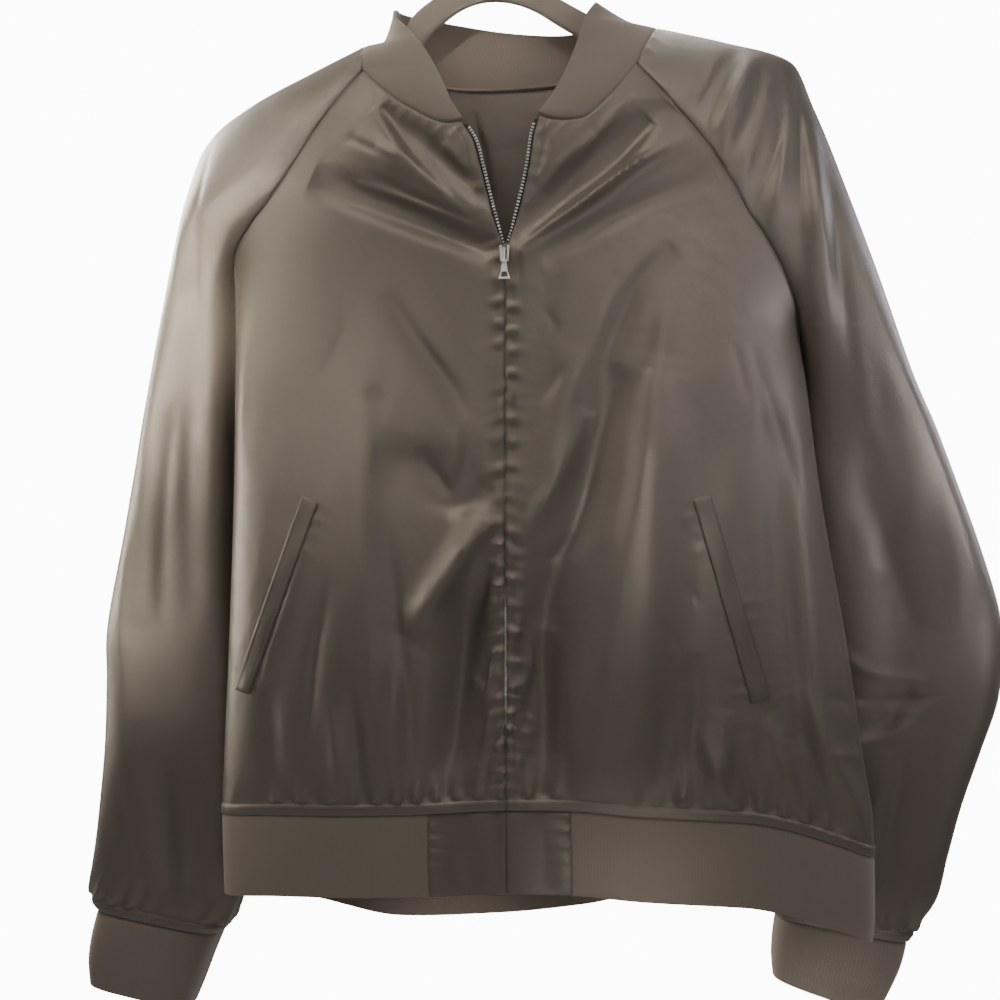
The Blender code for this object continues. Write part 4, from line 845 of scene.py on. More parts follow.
def satinFinish(name, colour):
    finish = Finish(name, {"Metallic": 0.5, "Specular IOR Level": 0.5, "Sheen Weight": 0.12,
                           "Sheen Roughness": 0.4, "Sheen Tint": (0.95, 0.88, 0.80, 1)})
    place, cloth = finish.place(), finish.cloth()
    across, along = finish.split(cloth)
    seamShade = finish.node("ShaderNodeAttribute", {"attribute_name": "seamShade"}, output="Fac")
    broad = finish.noise(place, 6.5, 3.0, 0.6)
    fine = finish.noise(place, 420.0, 2.0, 0.6)
    slub = finish.noise(finish.stretched(cloth, (2600, 210, 1)), 1.0, 1.0)
    weave = finish.wave(across + along, 0.00062) * 0.5 + finish.wave(across - along * 3.0, 0.0011) * 0.5
    mixed = broad * 0.62 + fine * 0.2 + slub * 0.18
    plain = finish.shades(mixed, tone(colour, 0.84), tone(colour, 1.16))
    # painted shade: the colour darkens along the seams and sewn grooves
    finish.feed("Base Color", finish.shades(seamShade * 0.4, plain, tone(colour, 0.6)))
    finish.feed("Roughness", 0.33 + broad * 0.10 + fine * 0.06 + seamShade * 0.14)
    crinkle = finish.noise(place, 95.0, 3.0, 0.55)
    rumple = finish.noise(place, 34.0, 2.0, 0.5)
    finish.relief(rumple * 1.5 + crinkle * 0.45 + slub * 0.08 + weave * 0.03 + fine * 0.05, 0.0006)
    return finish.material


def knitFinish(name, colour, pitch):
    finish = Finish(name, {"Roughness": 0.9, "Specular IOR Level": 0.2, "Sheen Weight": 0.25,
                           "Sheen Roughness": 0.6, "Sheen Tint": (1.0, 0.9, 0.8, 1)})
    place, cloth = finish.place(), finish.cloth()
    across, up = finish.split(cloth)
    wale = abs(finish.wave(across, 2 * pitch * mm))
    loops = finish.wave(up + wale * 0.0009, 0.0016)
    broad = finish.noise(place, 11.0, 3.0)
    fluff = finish.noise(place, 900.0, 2.0, 0.7)
    finish.paint(wale * 0.10 + loops * 0.04 + fluff * 0.36 + broad * 0.5, colour, 0.84, 1.18)
    finish.feed("Roughness", 0.82 + fluff * 0.14)
    finish.relief(wale * 0.25 + loops * 0.1 + fluff * 0.4, 0.0002)
    return finish.material


def tapeFinish(name, colour):
    finish = Finish(name, {"Roughness": 0.8, "Specular IOR Level": 0.3})
    across, up = finish.split(finish.cloth())
    ribs = finish.wave(abs(finish.wave(across, 0.006)) * 0.0022 + up, 0.0011)
    fluff = finish.noise(finish.place(), 1100.0, 2.0)
    finish.paint(ribs * 0.3 + fluff * 0.7, colour, 0.75, 1.2)
    finish.feed("Roughness", 0.72 + fluff * 0.2)
    finish.relief(ribs * 0.5 + fluff * 0.4, 0.0002)
    return finish.material


def metalFinish(name, colour, streak):
    finish = Finish(name, {"Metallic": 0.86, "Coat Weight": 0.3, "Coat Roughness": 0.2})
    place = finish.place()
    brushed = finish.noise(finish.stretched(place, streak), 1.0, 3.0, 0.65)
    worn = finish.noise(place, 140.0, 3.0, 0.6)
    finish.paint(worn, colour, 0.82, 1.1)
    finish.feed("Roughness", 0.26 + brushed * 0.14 + worn * 0.12)
    finish.relief(brushed * 0.4 + worn * 0.3, 0.00004)
    return finish.material


def hangerFinish(name, colour):
    finish = Finish(name, {"Roughness": 0.85, "Specular IOR Level": 0.25, "Sheen Weight": 0.2,
                           "Sheen Roughness": 0.5})
    place = finish.place()
    broad = finish.noise(place, 14.0, 3.0)
    grain = finish.noise(place, 1300.0, 3.0, 0.7)
    finish.paint(broad * 0.5 + grain * 0.5, colour, 0.86, 1.12)
    finish.feed("Roughness", 0.76 + grain * 0.18)
    finish.relief(grain * 0.7 + broad * 0.3, 0.00012)
    return finish.material


def threadFinish(name, colour):
    finish = Finish(name, {"Roughness": 0.55, "Sheen Weight": 0.2})
    twist = finish.noise(finish.stretched(finish.place(), (1800, 1800, 2600)), 1.0, 2.0)
    finish.paint(twist, colour, 0.75, 1.25)
    finish.relief(twist, 0.0001)
    return finish.material


def floorFinish():
    finish = Finish("paleFloor", {"Roughness": 0.7, "Emission Color": (1, 1, 1, 1),
                                  "Emission Strength": 0.75})
    broad = finish.noise(finish.place(), 1.3, 3.0)
    finish.feed("Base Color", finish.shades(broad, (0.80, 0.80, 0.79, 1), (0.86, 0.86, 0.85, 1)))
    return finish.material


colours = {
    "satin": (0.182, 0.152, 0.119),
    "knit": (0.195, 0.158, 0.124),
    "tape": (0.070, 0.055, 0.043),
    "zip": (0.93, 0.90, 0.83),
    # a dark copy of the zip metal: painted shade for the slider's recessed plate
    "zipPaintedShade": (0.16, 0.145, 0.125),
    "hanger": (0.260, 0.215, 0.170),
    "hook": (0.58, 0.57, 0.55),
    "thread": (0.170, 0.125, 0.090),
}
looks = {
    "satin": satinFinish("taupeSatin", colours["satin"]),
    # the welts are the same satin painted darker: painted shade
    "weltShadedSatin": satinFinish("weltShadedSatin", tone(colours["satin"], 0.86)[:3]),
    "knit": knitFinish("ribKnit", colours["knit"], density["knitPitch"]),
    "tape": tapeFinish("zipTapeWeave", colours["tape"]),
    "teeth": metalFinish("zipTeethMetal", colours["zip"], (900, 900, 300)),
    "slider": metalFinish("sliderMetal", colours["zip"], (2200, 700, 160)),
    "sliderShadedPlate": metalFinish("sliderPaintedShade", colours["zipPaintedShade"], (2200, 700, 160)),
    "hanger": hangerFinish("matteHanger", colours["hanger"]),
    "hook": metalFinish("platedWire", colours["hook"], (900, 900, 90)),
    "thread": threadFinish("sewingThread", colours["thread"]),
}
print("finishes made")


# the satin panels
sewing = {
    "dip": 0.8, "dipWidth": 0.8,
    "tuckRise": 0.85, "tuckTop": 8.9, "tuckStitch": 6.6,
    "zipStitch": 6.4, "raglanStitch": 2.4, "blockStitch": 5.5,
    "crumpled": (-592, 66),              # where the cloth beside the zip is most rumpled, and how far
    "zipPuckers": (11.0, 0.9, 8.5),      # pitch, height, reach
    "zipPinches": (17.0, 2.0, 4.6),
    "hemPuckers": (17.5, 3.3, 11.0),
    "bandPuckers": (9.0, 0.16, 9.0),
    "sleeveBandPuckers": (8.0, 0.14, 9.0),
    "weltPuckers": (12.5, 0.32, 8.0),
    "neckPuckers": (14.0, 0.45, 8.0),
    "raglanPuckers": (17.0, 0.2, 8.0),
    "cuffPuckers": (15.0, 3.2, 14.0),
}


def seamDip(away):
    return -sewing["dip"] * bump(away, sewing["dipWidth"])


def tuckProfile(up):
    # the folded band above the knit: it stands out, ends in a crisp edge, and has a groove above it
    rise = sewing["tuckRise"]
    return np.interp(up, [0, 0.5, 1.1, 2.0, 6.2, 7.0, 7.6, 8.2, 8.8, 9.6, 11, 13],
                     [-0.5, rise * 0.5, rise * 0.9, rise, rise, rise * 0.85, rise * 0.55, rise * 0.1,
                      -0.3, -0.25, -0.08, 0])


# painted shade in the groove above the tuck's crisp edge
def tuckMark(up):
    return 0.8 * bump(up - sewing["tuckTop"], 1.2)


welts = {
    "right": [(-136, -464), (-193, -608), (-206, -605), (-149, -458)],
    "left": [(135, -461), (176, -606), (190, -602), (148, -458)],
    "lift": 2.1,
    "columns": [0, 0.35, 0.8, 1.5, 2.6, 4.2, 6, 8, 10, 11.6, 12.8, 13.5, 14.0, 14.35],
    "rows": 92,
}


def frontOffsets(side, points):
    inner, outer, up, top = edgeDistances(points)
    x, z = points[..., 0], points[..., 2]
    offsets = tuckProfile(up) + seamDip(outer) + 0.6 * seamDip(top)
    offsets += -0.7 * bump(inner, 1.0) - 0.22 * bump(inner - sewing["zipStitch"], 0.8)
    closed = 1 - 0.65 * ease((z - body["sliderTop"]) / 12)
    fade = ease((up - 6) / 12)
    shift = 0.7 if side == "right" else 2.1
    middle, reach = sewing["crumpled"]
    crumpled = (0.8 + 1.7 * bump(z - middle, reach)) * closed
    offsets += puckers(z + 0.3 * inner, inner - 2, *sewing["zipPuckers"], shift) * fade * crumpled
    offsets += softWaves(x * 2.4, z * 2.6, 31 if side == "right" else 32, 5.5) * (
        ease(inner / 3) * bump(inner - 9, 12) * bump(z + 600, 62) * fade)
    offsets += puckers(z, np.abs(inner - 4.8), *sewing["zipPinches"], 2 * shift) * fade * closed
    gathered = 0.75 + 0.8 * bump(inner - 20, 30) + 0.4 * bump(outer - 60, 70)
    offsets += puckers(x, up - 10, *sewing["hemPuckers"], 1.3) * ease((up - 8.5) / 4) * gathered
    offsets += puckers(x, 0 * up, *sewing["bandPuckers"], 2.3) * (up < 9)
    offsets += puckers(x - z, top - 1, *sewing["neckPuckers"], 0.4) * ease(top / 3)
    offsets += puckers(z, outer - 2, *sewing["raglanPuckers"], 2.6) * ease(outer / 3)
    topIn, lowIn, lowOut, topOut = welts[side]
    for edge, shift in (([topIn, lowIn], 0.3), ([topOut, lowOut], 1.9)):
        gap, place = nearLine(pathAt(edge, np.linspace(0, 1, 24)), x, z)[::2]
        offsets += puckers(place, gap - 1, *sewing["weltPuckers"], shift)
    # beside the zip the cloth never sinks into its tape
    floor = -1.0 - 0.15 * np.maximum(inner - 12, 0)
    offsets = np.where(inner < 26, np.maximum(offsets, floor), offsets)
    # where the satin is painted darker: painted shade along the raglan seam, the neck, the zip's edge
    # and the groove above the tuck
    marks = bump(outer, 2.0) + 0.5 * bump(top, 2.0) + bump(inner, 1.5) + tuckMark(up)
    return offsets, np.clip(marks, 0, 1)


def backOffsets(points):
    first, last, up, top = edgeDistances(points)
    x, z = points[..., 0], points[..., 2]
    offsets = tuckProfile(up) + seamDip(first) + seamDip(last) + seamDip(top)
    offsets += puckers(x, up - 9, *sewing["hemPuckers"], 3.1) * ease((up - 8.5) / 4)
    offsets += puckers(x, 0 * up, *sewing["bandPuckers"], 1.3) * (up < 9)
    offsets += 0.3 * puckers(x, top - 1, *sewing["neckPuckers"], 1.4) * ease(top / 3)
    for away in (first, last):
        offsets += puckers(z, away - 2, *sewing["raglanPuckers"], 0.6) * ease(away / 3)
    # where the satin is painted darker: painted shade along the raglan and neck seams and the groove
    # above the tuck
    marks = bump(first, 2.0) + bump(last, 2.0) + bump(top, 2.0) + tuckMark(up)
    return offsets, np.clip(marks, 0, 1)


def sleeveOffsets(points, closedRows):
    first, last, up, top = edgeDistances(points)
    z = points[..., 2]
    sewn = (np.arange(len(points)) >= closedRows)[:, None]
    offsets = tuckProfile(up) + (seamDip(first) + seamDip(last)) * sewn + seamDip(top)
    offsets += puckers(first, up - 9, *sewing["cuffPuckers"], 0.9) * ease((up - 8.5) / 4)
    offsets += puckers(first, 0 * up, *sewing["sleeveBandPuckers"], 2.3) * (up < 9)
    offsets += puckers(first, top - 1, *sewing["neckPuckers"], 2.2) * ease(top / 3)
    for away in (first, last):
        offsets += puckers(z, away - 2, *sewing["raglanPuckers"], 1.6) * ease(away / 3) * sewn
    # the sleeve's own seam runs down its inner side
    offsets += -0.5 * bump(np.minimum(first, last), 0.9) * ~sewn
    # where the satin is painted darker: painted shade along the seams and the groove above the tuck
    marks = (bump(first, 2.0) + bump(last, 2.0)) * np.where(sewn, 1, 0.5) + bump(top, 2.0)
    return offsets, np.clip(marks + tuckMark(up), 0, 1)


def clothArea(points):
    first, second = points[1:, 1:] - points[:-1, :-1], points[1:, :-1] - points[:-1, 1:]
    return np.linalg.norm(np.cross(first, second), axis=2).sum() / 2 * mm * mm


grids = {"frontRight": frontPanel("right"), "frontLeft": frontPanel("left"), "back": backPanel()}
grids["sleeveRight"], armpitRight = sleevePanel("right")
grids["sleeveLeft"], armpitLeft = sleevePanel("left")
print("panels drawn")


def neckSeam():
    return np.concatenate([grids["frontRight"][-1], grids["sleeveRight"][-1][1:], grids["back"][-1][1:],
                           grids["sleeveLeft"][-1][-2::-1], grids["frontLeft"][-1][-2::-1]])


def resampled(points, step=None, count=None):
    marks = marksAlong(points)
    count = count or max(int(round(marks[-1] / step)), 2)
    at = np.linspace(0, marks[-1], count + 1)
    return readLine(at, marks, points), at


outwards = {"frontRight": -1, "frontLeft": 1, "back": -1, "sleeveRight": -1, "sleeveLeft": 1}
normals = {name: clothNormals(points, outwards[name]) for name, points in grids.items()}
shareNormals([(grids[name], normals[name]) for name in grids])
offsets = {
    "frontRight": frontOffsets("right", grids["frontRight"]),
    "frontLeft": frontOffsets("left", grids["frontLeft"]),
    "back": backOffsets(grids["back"]),
    "sleeveRight": sleeveOffsets(grids["sleeveRight"], armpitRight),
    "sleeveLeft": sleeveOffsets(grids["sleeveLeft"], armpitLeft)}
nodes = {"frontRight": "front_right", "frontLeft": "front_left", "back": "back",
         "sleeveRight": "sleeve_right", "sleeveLeft": "sleeve_left"}
surfaces = {}
for name, points in grids.items():
    lift, marks = offsets[name]
    surfaces[name] = points + normals[name] * lift[..., None]
    # a sleeve closes into a tube
    piece = laidSheet(name + "Cloth", surfaces[name], outwards[name], body["clothThick"],
                      name.startswith("sleeve"), marks)
    smooth(piece, 60)
    finished(piece, looks["satin"], [nodes[name]])
    print(name, "cloth", round(clothArea(surfaces[name]), 4), "m2", len(piece.data.polygons), "faces")


# the knitted collar, hem and cuffs
knit = {
    "thick": 2.3,
    "rib": 0.07,
    "edge": 0.8,
    "collarTop": columns("around x y z", [
        (0.000, -30.0, -57.5, -184), (0.060, -39, -52, -170), (0.120, -47, -44, -153),
        (0.185, -57, -35, -134), (0.245, -71, -24, -113), (0.310, -92, -8, -91),
        (0.370, -95, 14, -80), (0.430, -70, 34, -82), (0.500, -10, 44, -91),
        (0.570, 40, 37, -97), (0.625, 64, 20, -92), (0.685, 64, -6, -88),
        (0.745, 56, -21, -103), (0.800, 50, -32, -128), (0.870, 41, -44, -154),
        (0.935, 33, -52, -171), (1.000, 25.5, -57.5, -182)]),
    "collarRows": 17,
    "collarBulge": 4.0,
    "neckMiddle": (-7, -4),
    "hemHeight": 61.0,
    "hemRows": 22,
    "blockEdge": (-56, 49),
    "blockThick": 1.3, "blockStep": 1.1, "blockRows": 46, "blockBevel": 0.3,
    "cuffRows": 18, "cuffColumns": 90,
    "blockFolds": {"Right": (0.6, 1.0, 5), "Left": (2.1, 2.2, 6)},      # height, shift, seed
    "underBlock": 0.3,
}
ribStep = density["knitPitch"] / density["knitSteps"]


def ribs(points, outward, closed=False):
    # every few columns make one rib
    direction = clothNormals(points, outward)
    if closed:
        shareNormals([(points, direction)])
    wave = np.sin(math.pi * np.arange(points.shape[1]) / density["knitSteps"])
    wave = np.abs(wave) * knit["rib"]
    return points + direction * wave[None, :, None], direction


def bevelled(piece, width):
    modify(piece, "BEVEL", width=width * mm, segments=2, limit_method="ANGLE",
           angle_limit=math.radians(62))
    smooth(piece, 60)


def knitted(name, points, outward, node, edge, deep, closed=False):
    points, direction = ribs(points, outward, closed)
    up, down = edgeDistances(points)[2:]
    sewn = up if edge == "bottom" else down
    points = points - direction * (deep * bump(sewn, 1.8))[..., None]
    across = np.broadcast_to(np.arange(points.shape[1]) * ribStep, up.shape)
    marks = np.clip(bump(sewn, 2.0), 0, 1)
    uv = np.stack([across, up], axis=2) * mm
    piece = laidSheet(name, points, outward, knit["thick"], closed, marks, uv)
    bevelled(piece, knit["edge"])
    finished(piece, looks["knit"], [node])
    print(name, round(clothArea(points), 4), "m2", len(piece.data.polygons), "faces")


def collar():
    base, marks = resampled(neckSeam(), ribStep)
    share = marks / marks[-1]
    top = np.stack([read(knit["collarTop"], "around", axis, share) for axis in "xyz"], axis=1)
    away = base[:, :2] - np.array(knit["neckMiddle"])
    out = np.zeros_like(base)
    out[:, :2] = away / np.linalg.norm(away, axis=1, keepdims=True)
    bulge = knit["collarBulge"] * np.minimum(np.linalg.norm(top - base, axis=1) / 40, 1)
    rows = [base + (top - base) * up + out * (bulge * math.sin(math.pi * up))[:, None]
            for up in np.concatenate([[-0.02], evenly(knit["collarRows"])])]
    knitted("collarKnit", np.stack(rows), -1, "collar", "bottom", 0.9)


def hemTop():
    # the body's lowest points, from zip to zip round the back
    parts = [(grids["frontRight"][0], 0), (grids["back"][0][1:-1], 1), (grids["frontLeft"][0][::-1], 0)]
    return np.concatenate([np.column_stack([points, np.full(len(points), face)])
                           for points, face in parts])


def hemGrid(top, downs):
    rows = []
    for down in downs:
        z = top[:, 2] - down
        x = top[:, 0] * halfWidth(top[:, 0], z) / halfWidth(top[:, 0], top[:, 2])
        y = np.where(top[:, 3] < 0.5, smoothDepth(x, z, "front"), smoothDepth(x, z, "back"))
        rows.append(np.stack([x, y, z], axis=1))
    return np.stack(rows)


def hemSpans():
    # where the two satin blocks end, along the line from zip to zip
    line = hemTop()
    front = line[:, 3] < 0.5
    middle = len(line) // 2
    marks = marksAlong(line[:, :3])
    rightX, rightMarks = line[:middle, 0][front[:middle]], marks[:middle][front[:middle]]
    leftX, leftMarks = line[middle:, 0][front[middle:]], marks[middle:][front[middle:]]
    right = np.interp(-knit["blockEdge"][0], -rightX, rightMarks)
    left = np.interp(knit["blockEdge"][1], leftX[::-1], leftMarks[::-1])
    return line, marks, right, left


def cutLine(line, marks, start, end, step, multiple=1):
    count = int(round((end - start) / step / multiple)) * multiple
    return readLine(np.linspace(start, end, count + 1), marks, line)


def hem():
    line, marks, right, left = hemSpans()
    height, under = knit["hemHeight"], knit["underBlock"]
    downs = np.concatenate([height * evenly(knit["hemRows"])[::-1] + 0.3, [-1.2]])
    # the rib's ends run just under the blocks, so no light shows through the seams
    top = cutLine(line, marks, right - under, left + under, ribStep, density["knitSteps"])
    knitted("hemKnit", hemGrid(top, downs), -1, "hem_rib", "top", 1.2)
    blocks = {}
    for name, start, end in (("Right", 0.0, right), ("Left", left, marks[-1])):
        pucker, shift, seed = knit["blockFolds"][name]
        top = cutLine(line, marks, start, end, knit["blockStep"])
        points = hemGrid(top, height * evenly(knit["blockRows"])[::-1] + 0.3)
        direction = clothNormals(points, -1)
        first, last, up, down = edgeDistances(points)
        sewn, free = (last, first) if name == "Right" else (first, last)
        x, z = points[..., 0], points[..., 2]
        lift = puckers(z, sewn - 1.5, 11.5, pucker, 9.0, shift) * ease(sewn / 2.6)
        lift += seamDip(sewn) * 0.3 - 0.1 * bump(free, 1.0) - 0.6 * bump(down, 1.6)
        lift += softWaves(x * 1.4, z, seed, 2.2) * ease(up / 8)
        points = points + direction * lift[..., None]
        # painted shade along the block's sewn edge, its foot and its free edge
        seamShade = np.clip(bump(sewn, 2) + bump(down, 2) + bump(free, 1.5), 0, 1)
        piece = laidSheet("hemBlock" + name + "Cloth", points, -1, knit["blockThick"], False, seamShade)
        bevelled(piece, knit["blockBevel"])
        finished(piece, looks["satin"], ["hem_block_" + name.lower()])
        print("hemBlock" + name, round(clothArea(points), 4), "m2")
        blocks[name] = (points, direction)
    return blocks


def cuff(side):
    rows = sleeves["cuff"][side]
    shares = 1 - np.concatenate([evenly(knit["cuffRows"]), [1.03]])
    turns = np.linspace(0, 1, knit["cuffColumns"])
    rings = lowerRings(rows, np.clip(shares, 0, 1), sleeves["roundness"], np.zeros(len(shares)), turns)
    rings[-1] += (rings[-2] - rings[-4]) * 0.5
    around = np.linalg.norm(np.diff(rings[0], axis=0), axis=1).sum()
    count = int(round(around / density["knitPitch"])) * density["knitSteps"]
    rings = np.stack([resampled(ring, count=count)[0] for ring in rings])
    knitted("cuff" + side.title() + "Knit", rings, signs[side], "cuff_" + side, "top", 1.2, closed=True)


collar()
blockMade = hem()
for side in ("right", "left"):
    cuff(side)
print("knits made")


# pocket welts
def welt(side):
    topIn, lowIn, lowOut, topOut = (np.array(corner, float) for corner in welts[side])
    up = evenly(welts["rows"], (0.2, 0.5))
    places = np.array(welts["columns"])
    wide = places[-1]
    inner = lowIn + (topIn - lowIn) * up[:, None]
    outer = lowOut + (topOut - lowOut) * up[:, None]
    flat = inner[:, None] + (outer - inner)[:, None] * (places / wide)[None, :, None]
    x, z = flat[..., 0], flat[..., 1]
    length = np.linalg.norm(topIn - lowIn)
    ends = np.minimum(up, 1 - up)[:, None] * length
    # sewn down on the inner edge and at both ends, and standing free on the outer one
    profile = (1 - np.exp(-(places / 0.9) ** 1.2))[None] * (1 - 0.9 * np.exp(-(ends / 1.1) ** 1.3))
    profile = profile * np.interp(places, [wide - 1.3, wide - 0.5, wide], [1, 0.96, 0.72])[None]
    groove = 0.3 * bump(places[None] - 2.6, 0.7) + 0.25 * bump(places[None] - (wide - 2.4), 0.7)
    swell = 0.35 * np.sin(up * 19 + 1)[:, None] * np.sin(math.pi * places / wide)[None]
    lift = profile * (welts["lift"] + swell) - groove - 0.25
    y = depth(x, z, "front") - lift
    points = np.stack([x, y, z], axis=2)
    outward = signs[side]
    # painted shade along the welt's sewn and free edges
    marks = np.clip(bump(places, 1.2)[None] + bump(places - wide, 1.0)[None] + 0 * up[:, None], 0, 1)
    piece = laidSheet("welt" + side.title() + "Cloth", points, outward, 1.0, False, marks)
    smooth(piece, 60)
    finished(piece, looks["weltShadedSatin"], ["pocket_welt_" + side])
    print("welt", side, round(clothArea(points), 5), "m2")
    return points, clothNormals(points, outward)


weltMade = {side: welt(side) for side in ("right", "left")}


# the zip
zipParts = {
    "parting": 30.0, "tapeShows": 3.0, "tapeDeep": 2.0, "tapeThick": 0.9,
    "columns": [0, 0.5, 1.2, 2.4, 4.5, 7, 10, 13], "rows": 230,
    "pitch": 2.4, "samples": 900,
    "tooth": (2.2, 2.3, 1.3),
    "toothBevel": 0.3,
}


def tapeEdge(side, z):
    sign = signs[side]
    parted = ease((z - body["sliderTop"]) / zipParts["parting"])
    edge = np.where(z > body["sliderTop"], read(body["openEdge"][side], "z", "x", z), zipX + sign * 2.0)
    return edge - sign * 1.85 * (1 - parted) - sign * zipParts["tapeShows"] * parted


def tape(side):
    sign = signs[side]
    bottom = float(hemSeam(np.array(zipX), "front")) - knit["hemHeight"] + 1
    top = body["neck"][side][0][1] - 2.0
    z = np.linspace(bottom, top, zipParts["rows"])[:, None]
    places = np.array(zipParts["columns"], float)
    x = tapeEdge(side, z) + sign * places
    z = np.broadcast_to(z, x.shape)
    bead = 0.55 * bump(places, 0.9)[None]
    y = depth(x, z, "front") + zipParts["tapeDeep"] - bead
    points = np.stack([x, y, z], axis=2)
    piece = laidSheet("zipTape" + side.title() + "Cloth", points, sign, zipParts["tapeThick"])
    smooth(piece, 60)
    finished(piece, looks["tape"], ["zip_tape_" + side])
    print("tape", side, round(clothArea(points), 5), "m2")


def takeMesh(piece):
    # a master's points and faces, in millimetres, and the master is removed
    mesh = piece.data
    points = np.array([spot.co for spot in mesh.vertices]) / mm
    faces = [tuple(face.vertices) for face in mesh.polygons]
    bpy.data.objects.remove(piece)
    return points, faces


def copied(name, master, origins, axes, finish):
    # one mesh with a copy of the master at each place, along its own three directions
    points, faces = master
    count = len(points)
    laid = origins[:, None]
    for k, axis in enumerate(axes):
        laid = laid + points[None, :, k:k + 1] * axis[:, None]
    corners = [tuple(corner + count * k for corner in face)
               for k in range(len(origins)) for face in faces]
    mesh = bpy.data.meshes.new(name)
    mesh.from_pydata(toWorld(laid.reshape(-1, 3)), [], corners)
    piece = linked(name, mesh)
    editing(piece, facingOut)
    smooth(piece, 40)
    finished(piece, finish)


def toothMaster():
    piece = added(bpy.ops.mesh.primitive_cube_add, size=mm)
    bevel = {"offset": zipParts["toothBevel"] * mm, "segments": 1, "affect": "EDGES"}
    editing(piece, (bpy.ops.transform.resize, {"value": zipParts["tooth"]}),
            (bpy.ops.mesh.bevel, bevel))
    return takeMesh(piece)


def unit(vectors):
    return vectors / np.maximum(np.linalg.norm(vectors, axis=1, keepdims=True), 1e-9)


def teeth(side, master):
    sign = signs[side]
    bottom = float(hemSeam(np.array(zipX), "front")) - knit["hemHeight"] + 7
    top = body["neck"][side][0][1] - 4.5
    z = np.linspace(bottom, top, zipParts["samples"])
    parted = ease((z - body["sliderTop"]) / zipParts["parting"])
    # the closed rows mesh past the zip's line, the open ones sit on their tape's edge
    x = tapeEdge(side, z) + sign * (0.45 - 0.05 * parted)
    shown = np.interp(z, [-640, -610, -550, -520], [0, 1, 1, 0])
    y = (depth(tapeEdge(side, z), z, "front") + zipParts["tapeDeep"]
         + 0.7 - 0.9 * parted - 0.45 * shown * (1 - parted))
    line = np.stack([x, y, z], axis=1)
    marks = marksAlong(line)
    at = np.arange(0.0 if side == "right" else zipParts["pitch"] / 2, marks[-1], zipParts["pitch"])
    spots = readLine(at, marks, line)
    ahead = unit(readLine(at + 1.5, marks, line) - readLine(at - 1.5, marks, line))
    out = np.tile([0.0, -1.0, 0.0], (len(spots), 1))
    across = unit(np.cross(out, ahead))
    out = np.cross(ahead, across)
    # where the rows mesh, only the teeth's tips show
    across = across * (0.7 + 0.3 * np.interp(at, marks, parted))[:, None]
    copied("zipTeeth" + side.title(), master, spots, (across, out, ahead), looks["teeth"])


for side in ("right", "left"):
    tape(side)
tooth = toothMaster()
for side in ("right", "left"):
    teeth(side, tooth)
print("zip made")


# the slider and its pull
sliderParts = {
    "wide": 7.3, "long": 12.8, "thick": 1.9, "bevel": 0.45,
    "rim": 1.7, "rimDeep": 2.9, "rimBevel": 0.4,
    "narrow": 0.8, "narrowFrom": 7.0,
    "bridgeWide": 1.9, "bridgeLong": 11.4, "bridgeThick": 1.2, "bridgeBevel": 0.35,
    "bridgeDown": 8.1, "legsDown": (3.0, 13.2),
}


def block(size, place):
    piece = added(bpy.ops.mesh.primitive_cube_add, size=1)
    editing(piece, (bpy.ops.transform.resize, {"value": [part * mm for part in size]}),
            (bpy.ops.transform.translate, {"value": [part * mm for part in place]}))
    return piece


def joined(name, pieces):
    deselectAll()
    for piece in pieces:
        piece.select_set(True)
    bpy.context.view_layer.objects.active = pieces[0]
    bpy.ops.object.join()
    pieces[0].name = name
    return pieces[0]


def boxOf(node):
    return [np.array(corner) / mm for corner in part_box(node)]


def narrow(piece, middle, below):
    # the lower part draws in towards the foot
    for spot in piece.data.vertices:
        if spot.co.z < below * mm:
            spot.co.x = middle * mm + (spot.co.x - middle * mm) * sliderParts["narrow"]


def slider():
    low, high = boxOf("zip_slider")
    middle, top, foot = (low[0] + high[0]) / 2, high[2], high[2] - sliderParts["narrowFrom"]
    wide, long, thick, rim = (sliderParts[part] for part in ("wide", "long", "thick", "rim"))
    plate = block((wide - 0.4, thick, long), (middle, high[1] - thick / 2, top - long / 2 - 0.1))
    rims = [block((rim, sliderParts["rimDeep"], long - 1.2),
                  (middle + sign * (wide - rim) / 2, high[1] - 1.2, top - long / 2))
            for sign in (-1, 1)]
    for part in [plate] + rims:
        narrow(part, middle, foot)
    modify(plate, "BEVEL", width=sliderParts["bevel"] * mm, segments=3, limit_method="ANGLE")
    for part in rims:
        modify(part, "BEVEL", width=sliderParts["rimBevel"] * mm, segments=2)
    # a bar over two legs makes the bridge
    across, bar = sliderParts["bridgeWide"], sliderParts["bridgeThick"]
    face = high[1] - thick
    bridge = [block((across, bar, sliderParts["bridgeLong"]),
                    (middle, low[1] + bar / 2, top - sliderParts["bridgeDown"]))]
    for down in sliderParts["legsDown"]:
        bridge.append(block((across, face - low[1] + 0.5, bar),
                            (middle, (face + low[1] + 0.5) / 2, top - down)))
    for part in bridge:
        modify(part, "BEVEL", width=sliderParts["bridgeBevel"] * mm, segments=3)
    # the plate gets the dark metal: painted shade in the recess between the rims and the bridge
    smooth(plate, 40)
    plate.name = "zipSliderPlate"
    finished(plate, looks["sliderShadedPlate"])
    piece = joined("zipSliderBody", rims + bridge)
    smooth(piece, 40)
    finished(piece, looks["slider"], ["zip_slider"])


pullParts = {
    "down": [-0.6, 0.6, 2.6, 8.4, 12.0, 13.8],
    "half": [1.6, 1.6, 1.7, 2.7, 4.0, 4.5],
    "hole": [0.8, 0.8, 0.8, 1.7, 2.6, 2.9],
    "open": (1, 3),
    "thick": 1.2, "bevel": 0.32,
}


